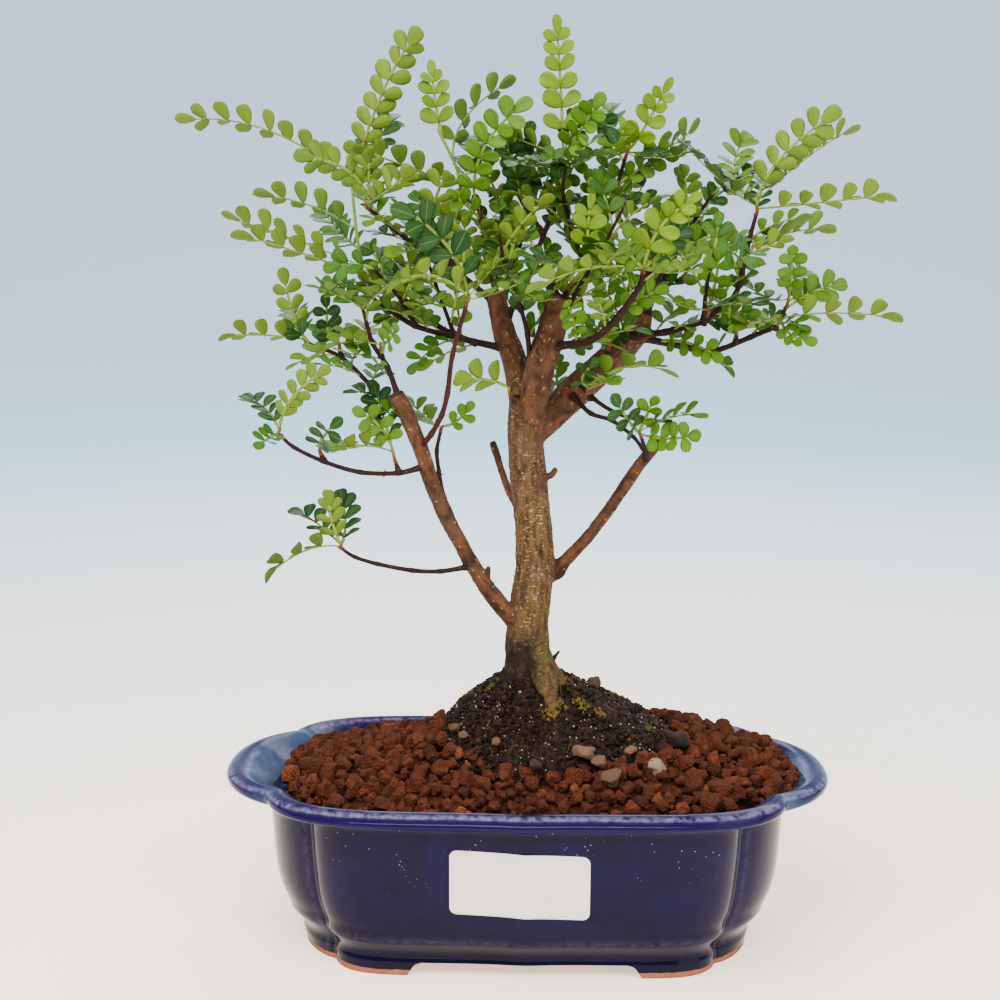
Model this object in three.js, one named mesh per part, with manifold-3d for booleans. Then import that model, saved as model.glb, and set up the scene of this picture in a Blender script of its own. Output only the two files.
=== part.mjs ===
// Chinese pepper bonsai: a small pinnate-leaved tree in a lobed, footed bonsai pot.
// Millimetres, +Z up, -Y is the front. The origin is the middle of the whole object's footprint,
// on the surface that the pot's feet stand on.

import * as THREE from 'three';
import { mergeVertices } from 'three/addons/utils/BufferGeometryUtils.js';
import Module from 'manifold-3d';

const wasm = await Module();
wasm.setup();

// Driving dimensions

const GAP = 0.3; // air between two touching pieces
const SKIN = 0.35; // air along facetted walls, measured across them

const POT = {
  floorTop: 10,
  recessTop: 4,
  ringWidth: 9,
  archHalfLong: 35,
  archHalfEnd: 13,
  archHeight: 4.6,
  archSplay: 3,
  drainX: 34,
  drainRadius: 6.5,
  ridge: 1.8,
  ridgeReach: 7,
};

// A level of the pot's wall: height, half length at the end lobes, the corner groove's place
// along the length and the depth, half depth at the middle of the long sides, and how square
// their ends are.
const OUTER_LEVELS = [
  { z: 0, end: 75.5, grooveX: 62.4, grooveY: 32.5, side: 46.2, square: 9 },
  { z: 9.5, end: 77.8, grooveX: 63, grooveY: 33, side: 47.2, square: 8 },
  { z: 15, end: 81.8, grooveX: 65, grooveY: 34, side: 49.8, square: 6 },
  { z: 22, end: 84.6, grooveX: 67.2, grooveY: 35, side: 52, square: 5 },
  { z: 46, end: 86.8, grooveX: 69.4, grooveY: 36, side: 54.4, square: 4.5 },
  { z: 51.8, end: 88.8, grooveX: 71, grooveY: 36.4, side: 55.4, square: 4.5 },
  { z: 54.2, end: 99.2, grooveX: 82, grooveY: 36, side: 59.2, square: 6 },
  { z: 56.2, end: 102, grooveX: 84.4, grooveY: 36.2, side: 60, square: 6 },
  { z: 59, end: 100.2, grooveX: 83.2, grooveY: 35.8, side: 58.6, square: 6 },
];
const INNER_LEVELS = [
  { z: 10, end: 68, grooveX: 54, grooveY: 26, side: 38.6, square: 5 },
  { z: 22, end: 76, grooveX: 60, grooveY: 30, side: 45.5, square: 4.5 },
  { z: 46, end: 80.5, grooveX: 64.5, grooveY: 31.5, side: 49, square: 4.5 },
  { z: 58.4, end: 95, grooveX: 79, grooveY: 33.4, side: 55.8, square: 6 },
];
const OPENING_RISE = 6; // how far the cutting body for the inside stands above the rim
const MOUTH_FLARE = { end: 12, grooveX: 9, side: 8 }; // how much that body widens there

// Where the wall's corners lie along one half of a long side, from its middle to the groove,
// and across an end lobe, from groove to groove.
const SIDE_STATIONS = [0, 0.06, 0.16, 0.4, 0.68, 0.86, 0.96];
const LOBE_STATIONS = [-1, -0.93, -0.7, -0.36, 0, 0.36, 0.7, 0.93];
const SIDE_FULLNESS = 1.6;
const LOBE_SQUARENESS = 2.4;
const LOBE_FULLNESS = 0.7;

const LABEL = {
  left: -24, right: 20.6, low: 22.9, high: 44.7, tilt: 0.04,
  corner: 2.4, bevel: 0.3, thickness: 0.5, level: 4,
  faces: [0, -1, -0.08],
};

const DRAIN_MESH = { side: 22, thickness: 1, hole: 7.5, pitch: 9.5, holesPerSide: 2 };

// Loose clay gravel: height of its surface at the rim and at the root ball, its grains, how much
// higher it meets the right end's wall, and the heap to the right of the root ball.
const GRAVEL = {
  edgeZ: 52, innerZ: 66, rings: 6, slope: 1.7, bulge: 0.6, grain: 2.2, sunk: 0.35, seed: 11,
  edgeRise: 4, riseEndX: 90, heapX: 60, heapY: 14, heapReach: 32, heapRise: 4,
};

// Dark root ball: half axes to the left, right, front and back of the trunk, the heights of its
// edge and crown, and how its cone leans along x and y.
const ROOT_BALL = {
  left: 30, right: 55, front: 38, back: 37, edgeZ: 69.5, crownZ: 95.5, leanX: -0.06, leanY: 0.12,
  shoulder: 3, shoulderShare: 0.985, flatTop: 0.6, segments: 22, rings: 5, grain: 0.9, seed: 5,
};

const ROOT_HOLE_AIR = 0.35; // air between the buried stump and the root ball

// Compound leaves. Corners are those of a leaflet's far end: out along it, and ahead of its axis.
const LEAF = {
  thickness: 0.62,
  ribHalfWidth: 0.5,
  baseHalfWidth: 0.3,
  firstNotch: 0.16,
  lift: 25,
  spread: 62,
  baseLength: 3.2,
  lengthShare: 0.12,
  longest: 7.4,
  endsShorter: 0.25,
  plumpness: 0.85,
  fill: 0.9,
  corners: [[0.7, -0.5], [1, 0.24]],
  tipShare: 0.42,
  tipWidest: 0.6,
  tipHalfWidth: 0.36,
};

// Leaflet pairs that the solid shows for each number of pairs on the real leaf. A leaf that lies
// flat, looking up, shows one pair fewer.
const SHOWN_PAIRS = [0, 1, 1, 2, 3, 3];

const COLOURS = {
  glaze: 0x1c1f63,
  gravel: 0x6e3c28,
  rootBall: 0x241b16,
  bark: 0x6a5137,
  label: 0xe9e2e4,
  drain: 0x2c2c2e,
  pale: 0x8fae4e,
  light: 0x7fae3a,
  mid: 0x4f8430,
  dark: 0x23592a,
  lime: 0xa5cc35,
};

// Which way a compound leaf's upper face looks.
const FRONT = [0, -1, 0.25];
const UNDER = [0, 1, 0.2];
const UP = [0, -0.3, 1];
const EDGE = [0, 0.64, 0.77];

// Leaf tones.
const PALE = 'pale';
const LIGHT = 'light';
const MID = 'mid';
const DARK = 'dark';
const LIME = 'lime';

// The wood's limbs: points along the axis with the radius at each, and the number of sides.
const LIMBS = [
  // Trunk, from the stump in the root ball to the fork
  { sides: 11, line: [[1, 0, 62, 5.5], [1, 0, 80, 8.4], [0, 0, 90, 8], [0, 0, 106, 7],
    [2, 0, 128, 6.4], [0.6, 0, 149, 6.1], [-1.2, 0, 166, 6.1], [-1, 0, 178, 6.4], [-2, 1, 187, 4.8]] },
  // Left leader and its arms
  { sides: 8, line: [[-1, 2, 172, 4], [-5, 5, 194, 4.2], [-9, 7, 205, 3.8], [-12, 8, 218, 3.4]] },
  { sides: 4, line: [[-11, 8, 214, 1.9], [-14, 8, 228, 1.4], [-17, 6, 243, 1.1]] },
  { sides: 4, line: [[-12, 8, 214, 1.7], [-25, 2, 225, 1.3], [-37, -6, 233, 1.2], [-52, -14, 245, 1]] },
  { sides: 4, line: [[-8, 6, 199, 2], [-25, 2, 203, 1.4], [-38, -2, 207, 1.3], [-46, -4, 212, 1.1],
    [-53, -4, 217, 0.9]] },
  { sides: 4, line: [[-18, 3, 201, 1.4], [-31, 10, 206, 1.3], [-42, 16, 214, 1.1], [-45, 18, 217, 0.9]] },
  { sides: 4, line: [[-8, 7, 209, 1.6], [-2, 6, 221, 1.3], [4, 4, 237, 1.2], [8, 2, 248, 1.1],
    [9, 2, 255, 1]] },
  { sides: 4, line: [[-12, 8, 221, 1.4], [-9, 5, 226, 1.1], [-6, 3, 230, 0.9]] },
  // Centre leader, sawn off, with its front twig, thin twig and back twig
  { sides: 9, line: [[-1, 0, 170, 4.4], [3, -7, 193, 4.9], [6, -9, 203, 4.7], [9, -11, 217, 4.5],
    [9.4, -11.2, 218.5, 3.9]] },
  { sides: 5, line: [[7, -10, 201, 2.2], [19, -20, 204, 1.7], [24, -24, 208, 1.7], [29, -28, 214, 1.5],
    [34, -32, 222, 1.3], [35, -33, 226, 1.1]] },
  { sides: 4, line: [[0, -6, 194, 1.5], [-1, -11, 205, 1.2], [-3, -14, 213, 1], [-5, -16, 217, 0.9]] },
  { sides: 4, line: [[8, -8, 212, 1.8], [13, 0, 220, 1.6], [18, 8, 226, 1.5], [24, 16, 242, 1.3],
    [28, 18, 252, 1.1], [31, 18, 262, 0.9]] },
  { sides: 4, line: [[8, -11, 213, 1.2], [12, -14, 220, 0.9]] },
  // Right bough, its knob and three arms
  { sides: 9, line: [[-1, 2, 170, 5], [10, 7, 180, 5.4], [23, 9, 192, 5.2], [33, 10, 202, 4.6],
    [38, 10, 211, 3]] },
  { sides: 5, line: [[33, 8, 203, 2.4], [40, 4, 205, 2]] },
  { sides: 5, line: [[36, 8, 204, 2], [45, 6, 205, 1.6], [57, 2, 209, 1.5], [63, 0, 214, 1.4],
    [67, -1, 218, 1.3], [69, -1, 225, 1.2], [71, -2, 236, 1.1], [73, -2, 244, 0.9]] },
  { sides: 5, line: [[36, 9, 203, 2], [54, 14, 199, 1.5], [62, 16, 198, 1.4], [74, 14, 203, 1.3],
    [82, 12, 207, 1.1], [85, 11, 213, 0.9]] },
  { sides: 4, line: [[37, 11, 207, 1.8], [42, 24, 220, 1.4], [48, 34, 230, 1.2], [55, 38, 233, 0.9]] },
  // Left low bough with its five twigs
  { sides: 8, line: [[0, 0, 104, 4], [-5, -2, 109, 3.4], [-10, -5, 115, 3], [-16, -8, 124, 2.7],
    [-24, -12, 139, 2.6], [-31, -16, 155, 2.6], [-35, -19, 168, 2.6], [-40, -22, 181, 2.7],
    [-43, -23, 187, 2.5]] },
  { sides: 4, line: [[-19, -9, 128, 1.4], [-29, -13, 127, 1.1], [-38, -17, 128, 1.1], [-49, -22, 131, 1],
    [-56, -26, 134, 0.9], [-60, -28, 137, 0.8]] },
  { sides: 4, line: [[-33, -18, 163, 1.7], [-42, -22, 161, 1.2], [-54, -28, 162, 1.1], [-65, -33, 166, 1],
    [-74, -37, 171, 0.9], [-78, -39, 175, 0.8]] },
  { sides: 4, line: [[-42, -22, 185, 1.5], [-46, -18, 195, 1.2], [-51, -14, 202, 1.1],
    [-54, -10, 211, 0.9]] },
  { sides: 4, line: [[-37, -20, 174, 1.5], [-43, -11, 179.5, 1.3], [-53, 3, 186.5, 1.2], [-64, 14, 195, 1.1],
    [-76, 22, 199, 0.9]] },
  { sides: 4, line: [[-35.5, -19, 168.5, 1.5], [-31.5, -24.5, 174, 1.3], [-28, -27.5, 180.5, 1.2],
    [-26, -30, 188, 1.2], [-24.4, -32.5, 200, 1.1], [-20, -36, 216, 1]] },
  { sides: 4, line: [[-28, -14, 151, 1.3], [-30, -4, 159, 1], [-31, 2, 165, 1], [-30, 6, 171, 0.8]] },
  // Stub behind the trunk and the sawn-off right lower branch with its twig
  { sides: 5, line: [[0, 0, 142, 2], [-3, 6, 144, 1.6], [-8, 16, 152, 1.4], [-13, 20, 166, 1.3]] },
  { sides: 8, line: [[1, 1, 118, 3], [6, 3, 122, 2.5], [17, -2, 134, 2.1], [25, -6, 145, 2.1],
    [35, -10, 161, 2.1], [43, -13, 172, 2.1]] },
  { sides: 4, line: [[38, -12, 165, 1.4], [37, -17, 170, 1], [36, -20, 173, 0.9]] },
  // Twigs under the right bough
  { sides: 4, line: [[14, 2, 184, 1.4], [20, -6, 179, 1.1], [27, -9, 177, 1], [34, -12, 172, 0.9],
    [37, -14, 168, 0.9]] },
  { sides: 4, line: [[17, 3, 188, 1.4], [21, -8, 184, 1.1], [28, -12, 180, 1], [36, -15, 178, 0.9],
    [46, -17, 178, 0.8]] },
  // Pruning stubs
  { sides: 5, line: [[3, 0, 156, 1.8], [7.2, -3, 158, 1.3], [9, -3.6, 160.4, 0.9]] },
  { sides: 4, line: [[-14, -7, 122, 1.2], [-13, -10, 128, 0.9]] },
  { sides: 4, line: [[3, -2, 199, 1.4], [3, -14, 200, 1.1]] },
];

// Short spurs that carry a leafy stem on the side of a limb: root and tip.
const SPURS = [
  { root: [70, -1, 231], tip: [71, -4, 232] },
  { root: [82, 12, 206], tip: [82, 9, 208] },
  { root: [69, 15, 201], tip: [69, 13, 204] },
  { root: [57, 2, 208], tip: [58, 0, 211] },
  { root: [24, 16, 241], tip: [22, 12, 243] },
  { root: [-1, -2, 183], tip: [-6, -8, 185] },
  { root: [-65, -33, 166], tip: [-66, -33, 168.5] },
  { root: [-42, -22, 161], tip: [-43, -23, 164.5] },
  { root: [-64, 14, 195], tip: [-64.5, 15, 197.5] },
  { root: [-48, -17, 198], tip: [-48, -18.5, 200] },
  { root: [-38, -2, 207], tip: [-39, -4, 209.5] },
  { root: [20, -6, 184], tip: [19, -9.5, 186] },
  { root: [25, 7, 194], tip: [26, 3.5, 199.5] },
  { root: [10, 9, 180], tip: [10, 15, 182] },
  { root: [13, 0, 220], tip: [15.5, -0.5, 217.5] },
  { root: [42, 24, 220], tip: [41, 26, 222] },
  { root: [-14, 8, 228], tip: [-14.5, 10.5, 229] },
  { root: [-30, -2, 228], tip: [-30, -2.5, 230.5] },
];
const SPUR_RADIUS = 0.85;
const SPUR_SIDES = 4;

// The leafy stems. Each starts at the tip of a twig or spur and runs through the stem's points.
// A leaf is: how far up the stem it leaves it (0 to 1), a point half way along its rib, its tip,
// its number of leaflet pairs, where its upper face looks and, for some, its leaflets' length.
const LEAFY_STEMS = [
  {
    name: 'far_left_stem', tone: PALE, stem: [[-53, -4, 217], [-56, 0, 228], [-58, 4, 240], [-60, 8, 259]],
    leaves: [
      [0.14, [-76, -6, 231], [-96, -12, 237], 4, EDGE],
      [0.22, [-81, 14, 235], [-105, 24, 242], 4, EDGE],
      [0.5, [-74, 8, 246], [-92, 8, 249], 3, EDGE],
      [1, [-90, 14, 271], [-119, 16, 273], 5, EDGE],
      [1, [-48, 6, 285], [-36, 0, 302], 5, UNDER],
      [0.8, [-52, 28, 268], [-47, 42, 277], 3, FRONT],
    ],
  },
  {
    name: 'left_top_stem', tone: MID, stem: [[-52, -14, 245], [-53, -15, 248]],
    leaves: [
      [1, [-58, -20, 257], [-74, -26, 262], 4, UNDER],
      [1, [-46, -8, 252], [-35, -4, 255], 3, EDGE],
    ],
  },
  {
    name: 'upper_stem', tone: MID, stem: [[-17, 6, 243], [-23, 5, 251], [-25, 4, 259], [-31, 2, 271]],
    leaves: [
      [1, [-32, 2, 282], [-33, 2, 294], 4, FRONT],
      [0.36, [-36, 0, 257], [-58, -6, 265], 4, EDGE],
      [0.62, [-22, 12, 275], [-6, 22, 288], 3, EDGE],
      [0.06, [-16, -2, 264], [-1, -8, 280], 5, FRONT],
      [0.4, [-21, 30, 261], [-19, 54, 272], 3, FRONT],
    ],
  },
  {
    name: 'crown_stem', tone: DARK, stem: [[9, 2, 255], [10, 2, 261], [10, 2, 264]],
    leaves: [
      [1, [9, 1, 285], [7, 0, 309], 5, FRONT, 8],
      [0.8, [0, 9, 266], [-10, 16, 270], 3, EDGE],
      [0.2, [-3, 12, 253], [-14, 22, 248], 3, UP],
      [0.9, [18, 5, 275], [27, 6, 267], 3, FRONT],
      [0.8, [17, -8, 273], [22, -14, 282], 2, FRONT],
      [0.4, [15, -20, 260], [22, -36, 264], 3, UP],
      [0.4, [0, -18, 259], [-8, -34, 261], 3, UP],
    ],
  },
  {
    name: 'lime_stem', tone: LIME, stem: [[31, 18, 262], [32, 18, 265]],
    leaves: [
      [0.6, [37, 14, 272], [46, 10, 289], 4, FRONT],
      [0.8, [30, 13, 269], [30, 12, 276], 1, FRONT],
      [0.5, [46, 28, 266], [57, 38, 275], 3, EDGE],
      [0.3, [42, 8, 262], [54, 0, 265], 3, UP],
    ],
  },
  {
    name: 'right_top_stem', tone: LIGHT, stem: [[73, -2, 244], [73, -2, 249]],
    leaves: [
      [1, [81, -4, 263], [98, -8, 277], 5, UNDER],
      [0.9, [93, 14, 264], [109, 26, 273], 3, EDGE],
      [0.2, [92, -10, 248], [115, -20, 251], 4, EDGE],
      [0.4, [61, -14, 254], [46, -22, 268], 4, UP],
      [0.8, [68, 22, 258], [74, 40, 272], 3, FRONT],
    ],
  },
  {
    name: 'right_inner_stem', tone: MID, stem: [[71, -4, 232], [72, -7, 235]],
    leaves: [
      [1, [85, 6, 238], [101, 14, 240], 4, EDGE],
      [0.5, [80, 22, 234], [86, 42, 237], 3, UP],
    ],
  },
  {
    name: 'right_low_stem', tone: MID, stem: [[85, 11, 213], [86, 11, 217]],
    leaves: [
      [1, [86, 6, 224], [85, -2, 235], 4, FRONT],
      [0.4, [93, 16, 218], [99, 22, 219], 2, FRONT],
      [0.7, [79, 18, 216], [72, 24, 222], 3, UP],
      [0.5, [91, 38, 220], [98, 58, 226], 3, FRONT],
    ],
  },
  {
    name: 'right_long_stem', tone: PALE, stem: [[82, 9, 208], [83, 6, 210]],
    leaves: [
      [1, [100, 2, 212], [121, -6, 211], 4, EDGE],
      [0.6, [87, 2, 204], [93, -4, 204], 2, FRONT],
    ],
  },
  {
    name: 'right_small_stem', tone: LIGHT, stem: [[69, 13, 204], [69, 11, 207]],
    leaves: [
      [1, [68, 7, 209], [66, 3, 215], 2, FRONT],
      [0.6, [74, 38, 204], [79, 58, 206], 3, UP],
    ],
  },
  {
    name: 'right_arm_stem', tone: PALE, stem: [[58, 0, 211], [58, -2, 214]],
    leaves: [
      [0.6, [51, -6, 214], [42, -12, 218], 3, UP],
      [0.6, [64, -18, 216], [75, -30, 216], 3, UP],
      [1, [60, -8, 224], [60, -14, 234], 3, FRONT],
    ],
  },
  {
    name: 'front_lime_stem', tone: LIGHT, stem: [[35, -33, 226], [35, -34, 228]],
    leaves: [
      [1, [41, -38, 242], [54, -42, 251], 3, FRONT, 7.5],
      [0.8, [30, -40, 234], [31, -44, 241], 3, FRONT],
      [0.5, [17, -46, 228], [-1, -54, 221], 4, EDGE],
      [0.5, [43, -46, 227], [51, -56, 229], 3, UP],
      [0.8, [43, -26, 235], [49, -20, 243], 3, FRONT],
    ],
  },
  {
    name: 'front_bright_stem', tone: LIME, stem: [[12, -14, 220], [17, -19, 227], [18, -20, 231]],
    leaves: [
      [1, [18, -20, 240], [19, -18, 252], 4, FRONT, 10],
      [0.5, [6, -32, 229], [-3, -46, 230], 3, UP],
    ],
  },
  {
    name: 'bud_stem', tone: DARK, stem: [[22, 12, 243], [21, 11, 247]],
    leaves: [
      [1, [22, 10, 252], [20, 8, 259], 2, FRONT],
      [0.5, [14, -2, 247], [4, -12, 246], 4, UP],
      [0.7, [36, 14, 247], [45, 12, 250], 3, UP],
      [0.5, [22, 40, 244], [20, 62, 246], 3, UP],
    ],
  },
  {
    name: 'red_twig_stem', tone: LIGHT, stem: [[-20, -36, 216], [-19, -37, 219]],
    leaves: [
      [1, [-26, -44, 235], [-41, -52, 247], 4, FRONT, 8.5],
      [0.7, [-31, -50, 226], [-43, -62, 221], 3, EDGE],
      [0.8, [-14, -42, 225], [-8, -48, 232], 3, UP],
      [0.4, [-9, -44, 221], [3, -50, 227], 4, UP],
    ],
  },
  {
    name: 'fork_leaf_stem', tone: PALE, stem: [[-6, -8, 185], [-7, -11, 188]],
    leaves: [
      [1, [-14, -18, 192], [-26, -26, 194], 2, UNDER],
    ],
  },
  {
    name: 'left_mid_stem', tone: LIGHT, stem: [[-78, -39, 175], [-78, -39, 177]],
    leaves: [
      [1, [-74, -42, 187], [-62, -46, 197], 4, UNDER, 5.5],
      [0.7, [-85, -28, 183], [-93, -20, 184], 3, UP],
      [0.4, [-81, -48, 175], [-83, -56, 174], 2, FRONT],
    ],
  },
  {
    name: 'left_mid_small_stem', tone: DARK, stem: [[-66, -33, 168.5], [-66, -34, 171]],
    leaves: [
      [1, [-65, -40, 174], [-59, -48, 181], 2, FRONT],
    ],
  },
  {
    name: 'left_mid_inner_stem', tone: LIGHT, stem: [[-43, -23, 164.5], [-44, -24, 169]],
    leaves: [
      [1, [-48, -32, 178], [-56, -38, 183], 4, FRONT],
      [1, [-48, -12, 179], [-52, -4, 188], 4, FRONT],
      [0.7, [-52, -32, 171], [-62, -41, 170], 3, EDGE],
    ],
  },
  {
    name: 'back_left_stem', tone: LIGHT, stem: [[-76, 22, 199], [-78, 23, 201]],
    leaves: [
      [1, [-82, 24, 211], [-85, 26, 224], 4, UNDER],
      [0.6, [-91, 18, 202], [-106, 14, 202], 4, EDGE],
      [0.6, [-82, 45, 205], [-87, 64, 208], 3, FRONT],
    ],
  },
  {
    name: 'back_left_inner_stem', tone: DARK, stem: [[-64.5, 15, 197.5], [-65, 16, 200]],
    leaves: [
      [1, [-68, 12, 204], [-68, 8, 217], 3, FRONT],
      [0.6, [-71, 8, 197], [-81, 2, 192], 3, UP],
      [0.6, [-60, 38, 200], [-59, 58, 204], 3, FRONT],
    ],
  },
  {
    name: 'left_tip_stem', tone: MID, stem: [[-54, -10, 211], [-55, -11, 214]],
    leaves: [
      [0.8, [-61, -24, 218], [-70, -34, 222], 3, UP],
      [0.6, [-48, -24, 219], [-42, -36, 225], 2, UP],
      [1, [-62, 0, 218], [-69, 8, 222], 3, FRONT],
    ],
  },
  {
    name: 'left_tip_inner_stem', tone: PALE, stem: [[-48, -18.5, 200], [-48, -20, 203]],
    leaves: [
      [0.6, [-59, -20, 203], [-68, -18, 200], 3, UP],
      [1, [-45, -26, 204], [-41, -34, 210], 2, FRONT],
    ],
  },
  {
    name: 'arm_b_stem', tone: MID, stem: [[-45, 18, 217], [-47, 19, 219]],
    leaves: [
      [1, [-52, 24, 227], [-58, 32, 233], 3, FRONT],
      [0.7, [-42, 28, 227], [-36, 38, 234], 3, FRONT],
      [0.6, [-52, 42, 219], [-56, 62, 222], 3, UP],
    ],
  },
  {
    name: 'arm_a_stem', tone: MID, stem: [[-39, -4, 209.5], [-40, -6, 212]],
    leaves: [
      [1, [-39, -10, 217], [-41, -14, 223], 2, FRONT],
    ],
  },
  {
    name: 'low_left_stem', tone: DARK, stem: [[-60, -28, 137], [-60, -28, 138]],
    leaves: [
      [1, [-63, -32, 148], [-63, -36, 157], 4, UNDER],
      [0.9, [-69, -20, 144], [-78, -12, 147], 3, UP],
      [0.6, [-60, -16, 144], [-63, -6, 153], 3, FRONT],
      [0.4, [-72, -34, 137], [-84, -42, 129], 3, EDGE],
    ],
  },
  {
    name: 'fork_twig_stem', tone: LIGHT, stem: [[-30, 6, 171], [-29, 6, 173]],
    leaves: [
      [1, [-24, 6, 175], [-19, 6, 181], 2, FRONT],
      [0.6, [-35, 16, 174], [-43, 26, 181], 3, UP],
    ],
  },
  {
    name: 'right_low_end_stem', tone: LIGHT, stem: [[36, -20, 173], [35, -21, 175]],
    leaves: [
      [1, [38, -24, 182], [40, -26, 188], 3, FRONT],
      [0.8, [46, -30, 181], [55, -38, 182], 3, UP],
      [0.6, [31, -28, 180], [26, -34, 188], 2, FRONT],
      [0.3, [45, -30, 174], [54, -38, 177], 2, FRONT],
    ],
  },
  {
    name: 'bough_stem', tone: DARK, stem: [[19, -9.5, 186], [19, -12, 189]],
    leaves: [
      [0.7, [17, -16, 192], [22, -20, 198], 3, FRONT],
      [1, [33, -20, 196], [47, -26, 193], 4, EDGE],
    ],
  },
  {
    name: 'bough_top_stem', tone: DARK, stem: [[26, 3.5, 199.5], [26, 1, 203]],
    leaves: [
      [1, [28, -8, 205], [33, -12, 210], 3, FRONT],
      [0.6, [22, -8, 207], [17, -10, 211], 3, FRONT],
    ],
  },
  {
    name: 'bough_back_stem', tone: LIGHT, stem: [[10, 15, 182], [10, 18, 184]],
    leaves: [
      [1, [9, 24, 188], [10, 30, 195], 3, FRONT],
      [0.6, [2, 28, 182], [-6, 38, 179], 3, UP],
    ],
  },
  {
    name: 'leader_stem', tone: MID, stem: [[15.5, -0.5, 217.5], [17, -1.5, 215]],
    leaves: [
      [1, [17, -2, 207], [16, -1, 197], 3, FRONT],
    ],
  },
  {
    name: 'inner_crown_stem', tone: DARK, stem: [[-6, 3, 230], [-6, 2, 233]],
    leaves: [
      [0.6, [-11, -6, 232], [-18, -13, 231], 3, UP],
      [0.3, [-3, -9, 236], [2, -18, 239], 3, UP],
      [1, [-8, 26, 237], [-7, 48, 243], 4, FRONT],
    ],
  },
  {
    name: 'back_right_stem', tone: MID, stem: [[55, 38, 233], [56, 40, 235]],
    leaves: [
      [1, [60, 44, 244], [64, 50, 253], 4, FRONT],
      [0.7, [49, 46, 240], [43, 54, 247], 3, FRONT],
      [0.5, [64, 48, 232], [73, 58, 232], 3, UP],
      [0.8, [57, 56, 237], [57, 74, 238], 3, UP],
    ],
  },
  {
    name: 'back_bough_stem', tone: MID, stem: [[41, 26, 222], [40, 28, 224]],
    leaves: [
      [1, [37, 34, 228], [32, 44, 233], 3, FRONT],
      [0.6, [45, 44, 227], [48, 66, 231], 3, UP],
    ],
  },
  {
    name: 'left_back_stem', tone: MID, stem: [[-14.5, 10.5, 229], [-15, 14, 231]],
    leaves: [
      [1, [-20, 30, 232], [-25, 54, 235], 4, UP],
      [0.5, [-9, 28, 229], [-4, 48, 232], 3, UP],
    ],
  },
  {
    name: 'left_inner_stem', tone: DARK, stem: [[-30, -2.5, 230.5], [-30, -3.5, 233]],
    leaves: [
      [0.8, [-34, -20, 236], [-36, -32, 241], 3, FRONT],
      [1, [-29, 12, 235], [-30, 26, 243], 3, FRONT],
    ],
  },
  {
    name: 'thin_twig_stem', tone: DARK, stem: [[-5, -16, 217], [-5, -18, 219]],
    leaves: [
      [1, [-8, -28, 224], [-6, -38, 230], 3, FRONT],
      [0.5, [2, -28, 217], [8, -38, 219], 2, UP],
    ],
  },
];

// Small helpers

const vec = (point) => new THREE.Vector3(point[0], point[1], point[2]);
const degrees = THREE.MathUtils.degToRad;

// A repeatable stream of numbers from 0 to 1.
function randomStream(seed) {
  let state = seed;
  return () => {
    state = (state * 1664525 + 1013904223) % 4294967296;
    return state / 4294967296;
  };
}

function geometryFrom(points, triangles) {
  const geometry = new THREE.BufferGeometry();
  geometry.setAttribute('position', new THREE.Float32BufferAttribute(points.flat(), 3));
  geometry.setIndex(triangles.flat());
  return geometry;
}

function solid(geometry) {
  const bare = geometry.clone();
  bare.deleteAttribute('normal');
  bare.deleteAttribute('uv');
  const merged = mergeVertices(bare, 1e-3);
  return new wasm.Manifold(new wasm.Mesh({
    numProp: 3,
    vertProperties: new Float32Array(merged.attributes.position.array),
    triVerts: new Uint32Array(merged.index.array),
  }));
}

function toGeometry(manifold) {
  const mesh = manifold.getMesh();
  const geometry = new THREE.BufferGeometry();
  geometry.setAttribute('position', new THREE.BufferAttribute(mesh.vertProperties, 3));
  geometry.setIndex(new THREE.BufferAttribute(mesh.triVerts, 1));
  geometry.computeVertexNormals();
  return geometry;
}

// Stacked rings of equal length, closed at both ends by triangulated caps.
function loft(rings) {
  const count = rings[0].length;
  const points = rings.flat();
  const triangles = [];
  for (let level = 0; level + 1 < rings.length; level += 1) {
    for (let i = 0; i < count; i += 1) {
      const a = level * count + i;
      const b = level * count + ((i + 1) % count);
      triangles.push([a, b, b + count], [a, b + count, a + count]);
    }
  }
  const flat = (ring) => ring.map((p) => new THREE.Vector2(p[0], p[1]));
  const capOf = (ring) => THREE.ShapeUtils.triangulateShape(flat(ring), []);
  const top = (rings.length - 1) * count;
  capOf(rings[0]).forEach(([a, b, c]) => triangles.push([a, c, b]));
  capOf(rings[rings.length - 1]).forEach(([a, b, c]) => triangles.push([top + a, top + b, top + c]));
  return geometryFrom(points, triangles);
}

// A closed tube along a line of points, with its own radius at each and flat ends. Its first
// corner is turned away from this direction, which no limb runs along.
const TUBE_START = [0.31, 0.95, 0.05];

function taperedTube(line, sides) {
  const path = line.map(vec);
  const tangents = path.map((point, i) => {
    const before = path[Math.max(i - 1, 0)];
    const after = path[Math.min(i + 1, path.length - 1)];
    return after.clone().sub(before).normalize();
  });
  let across = new THREE.Vector3(...TUBE_START).cross(tangents[0]).normalize();
  const points = [];
  const triangles = [];
  path.forEach((point, i) => {
    across = across.sub(tangents[i].clone().multiplyScalar(across.dot(tangents[i]))).normalize();
    const up = tangents[i].clone().cross(across);
    for (let k = 0; k < sides; k += 1) {
      const turn = (2 * Math.PI * k) / sides;
      const rim = point.clone()
        .addScaledVector(across, line[i][3] * Math.cos(turn))
        .addScaledVector(up, line[i][3] * Math.sin(turn));
      points.push(rim.toArray());
    }
  });
  for (let i = 0; i + 1 < path.length; i += 1) {
    for (let k = 0; k < sides; k += 1) {
      const a = i * sides + k;
      const b = i * sides + ((k + 1) % sides);
      triangles.push([a, b, b + sides], [a, b + sides, a + sides]);
    }
  }
  const last = (path.length - 1) * sides;
  for (let k = 1; k + 1 < sides; k += 1) {
    triangles.push([0, k + 1, k], [last, last + k, last + k + 1]);
  }
  return geometryFrom(points, triangles);
}

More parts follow.
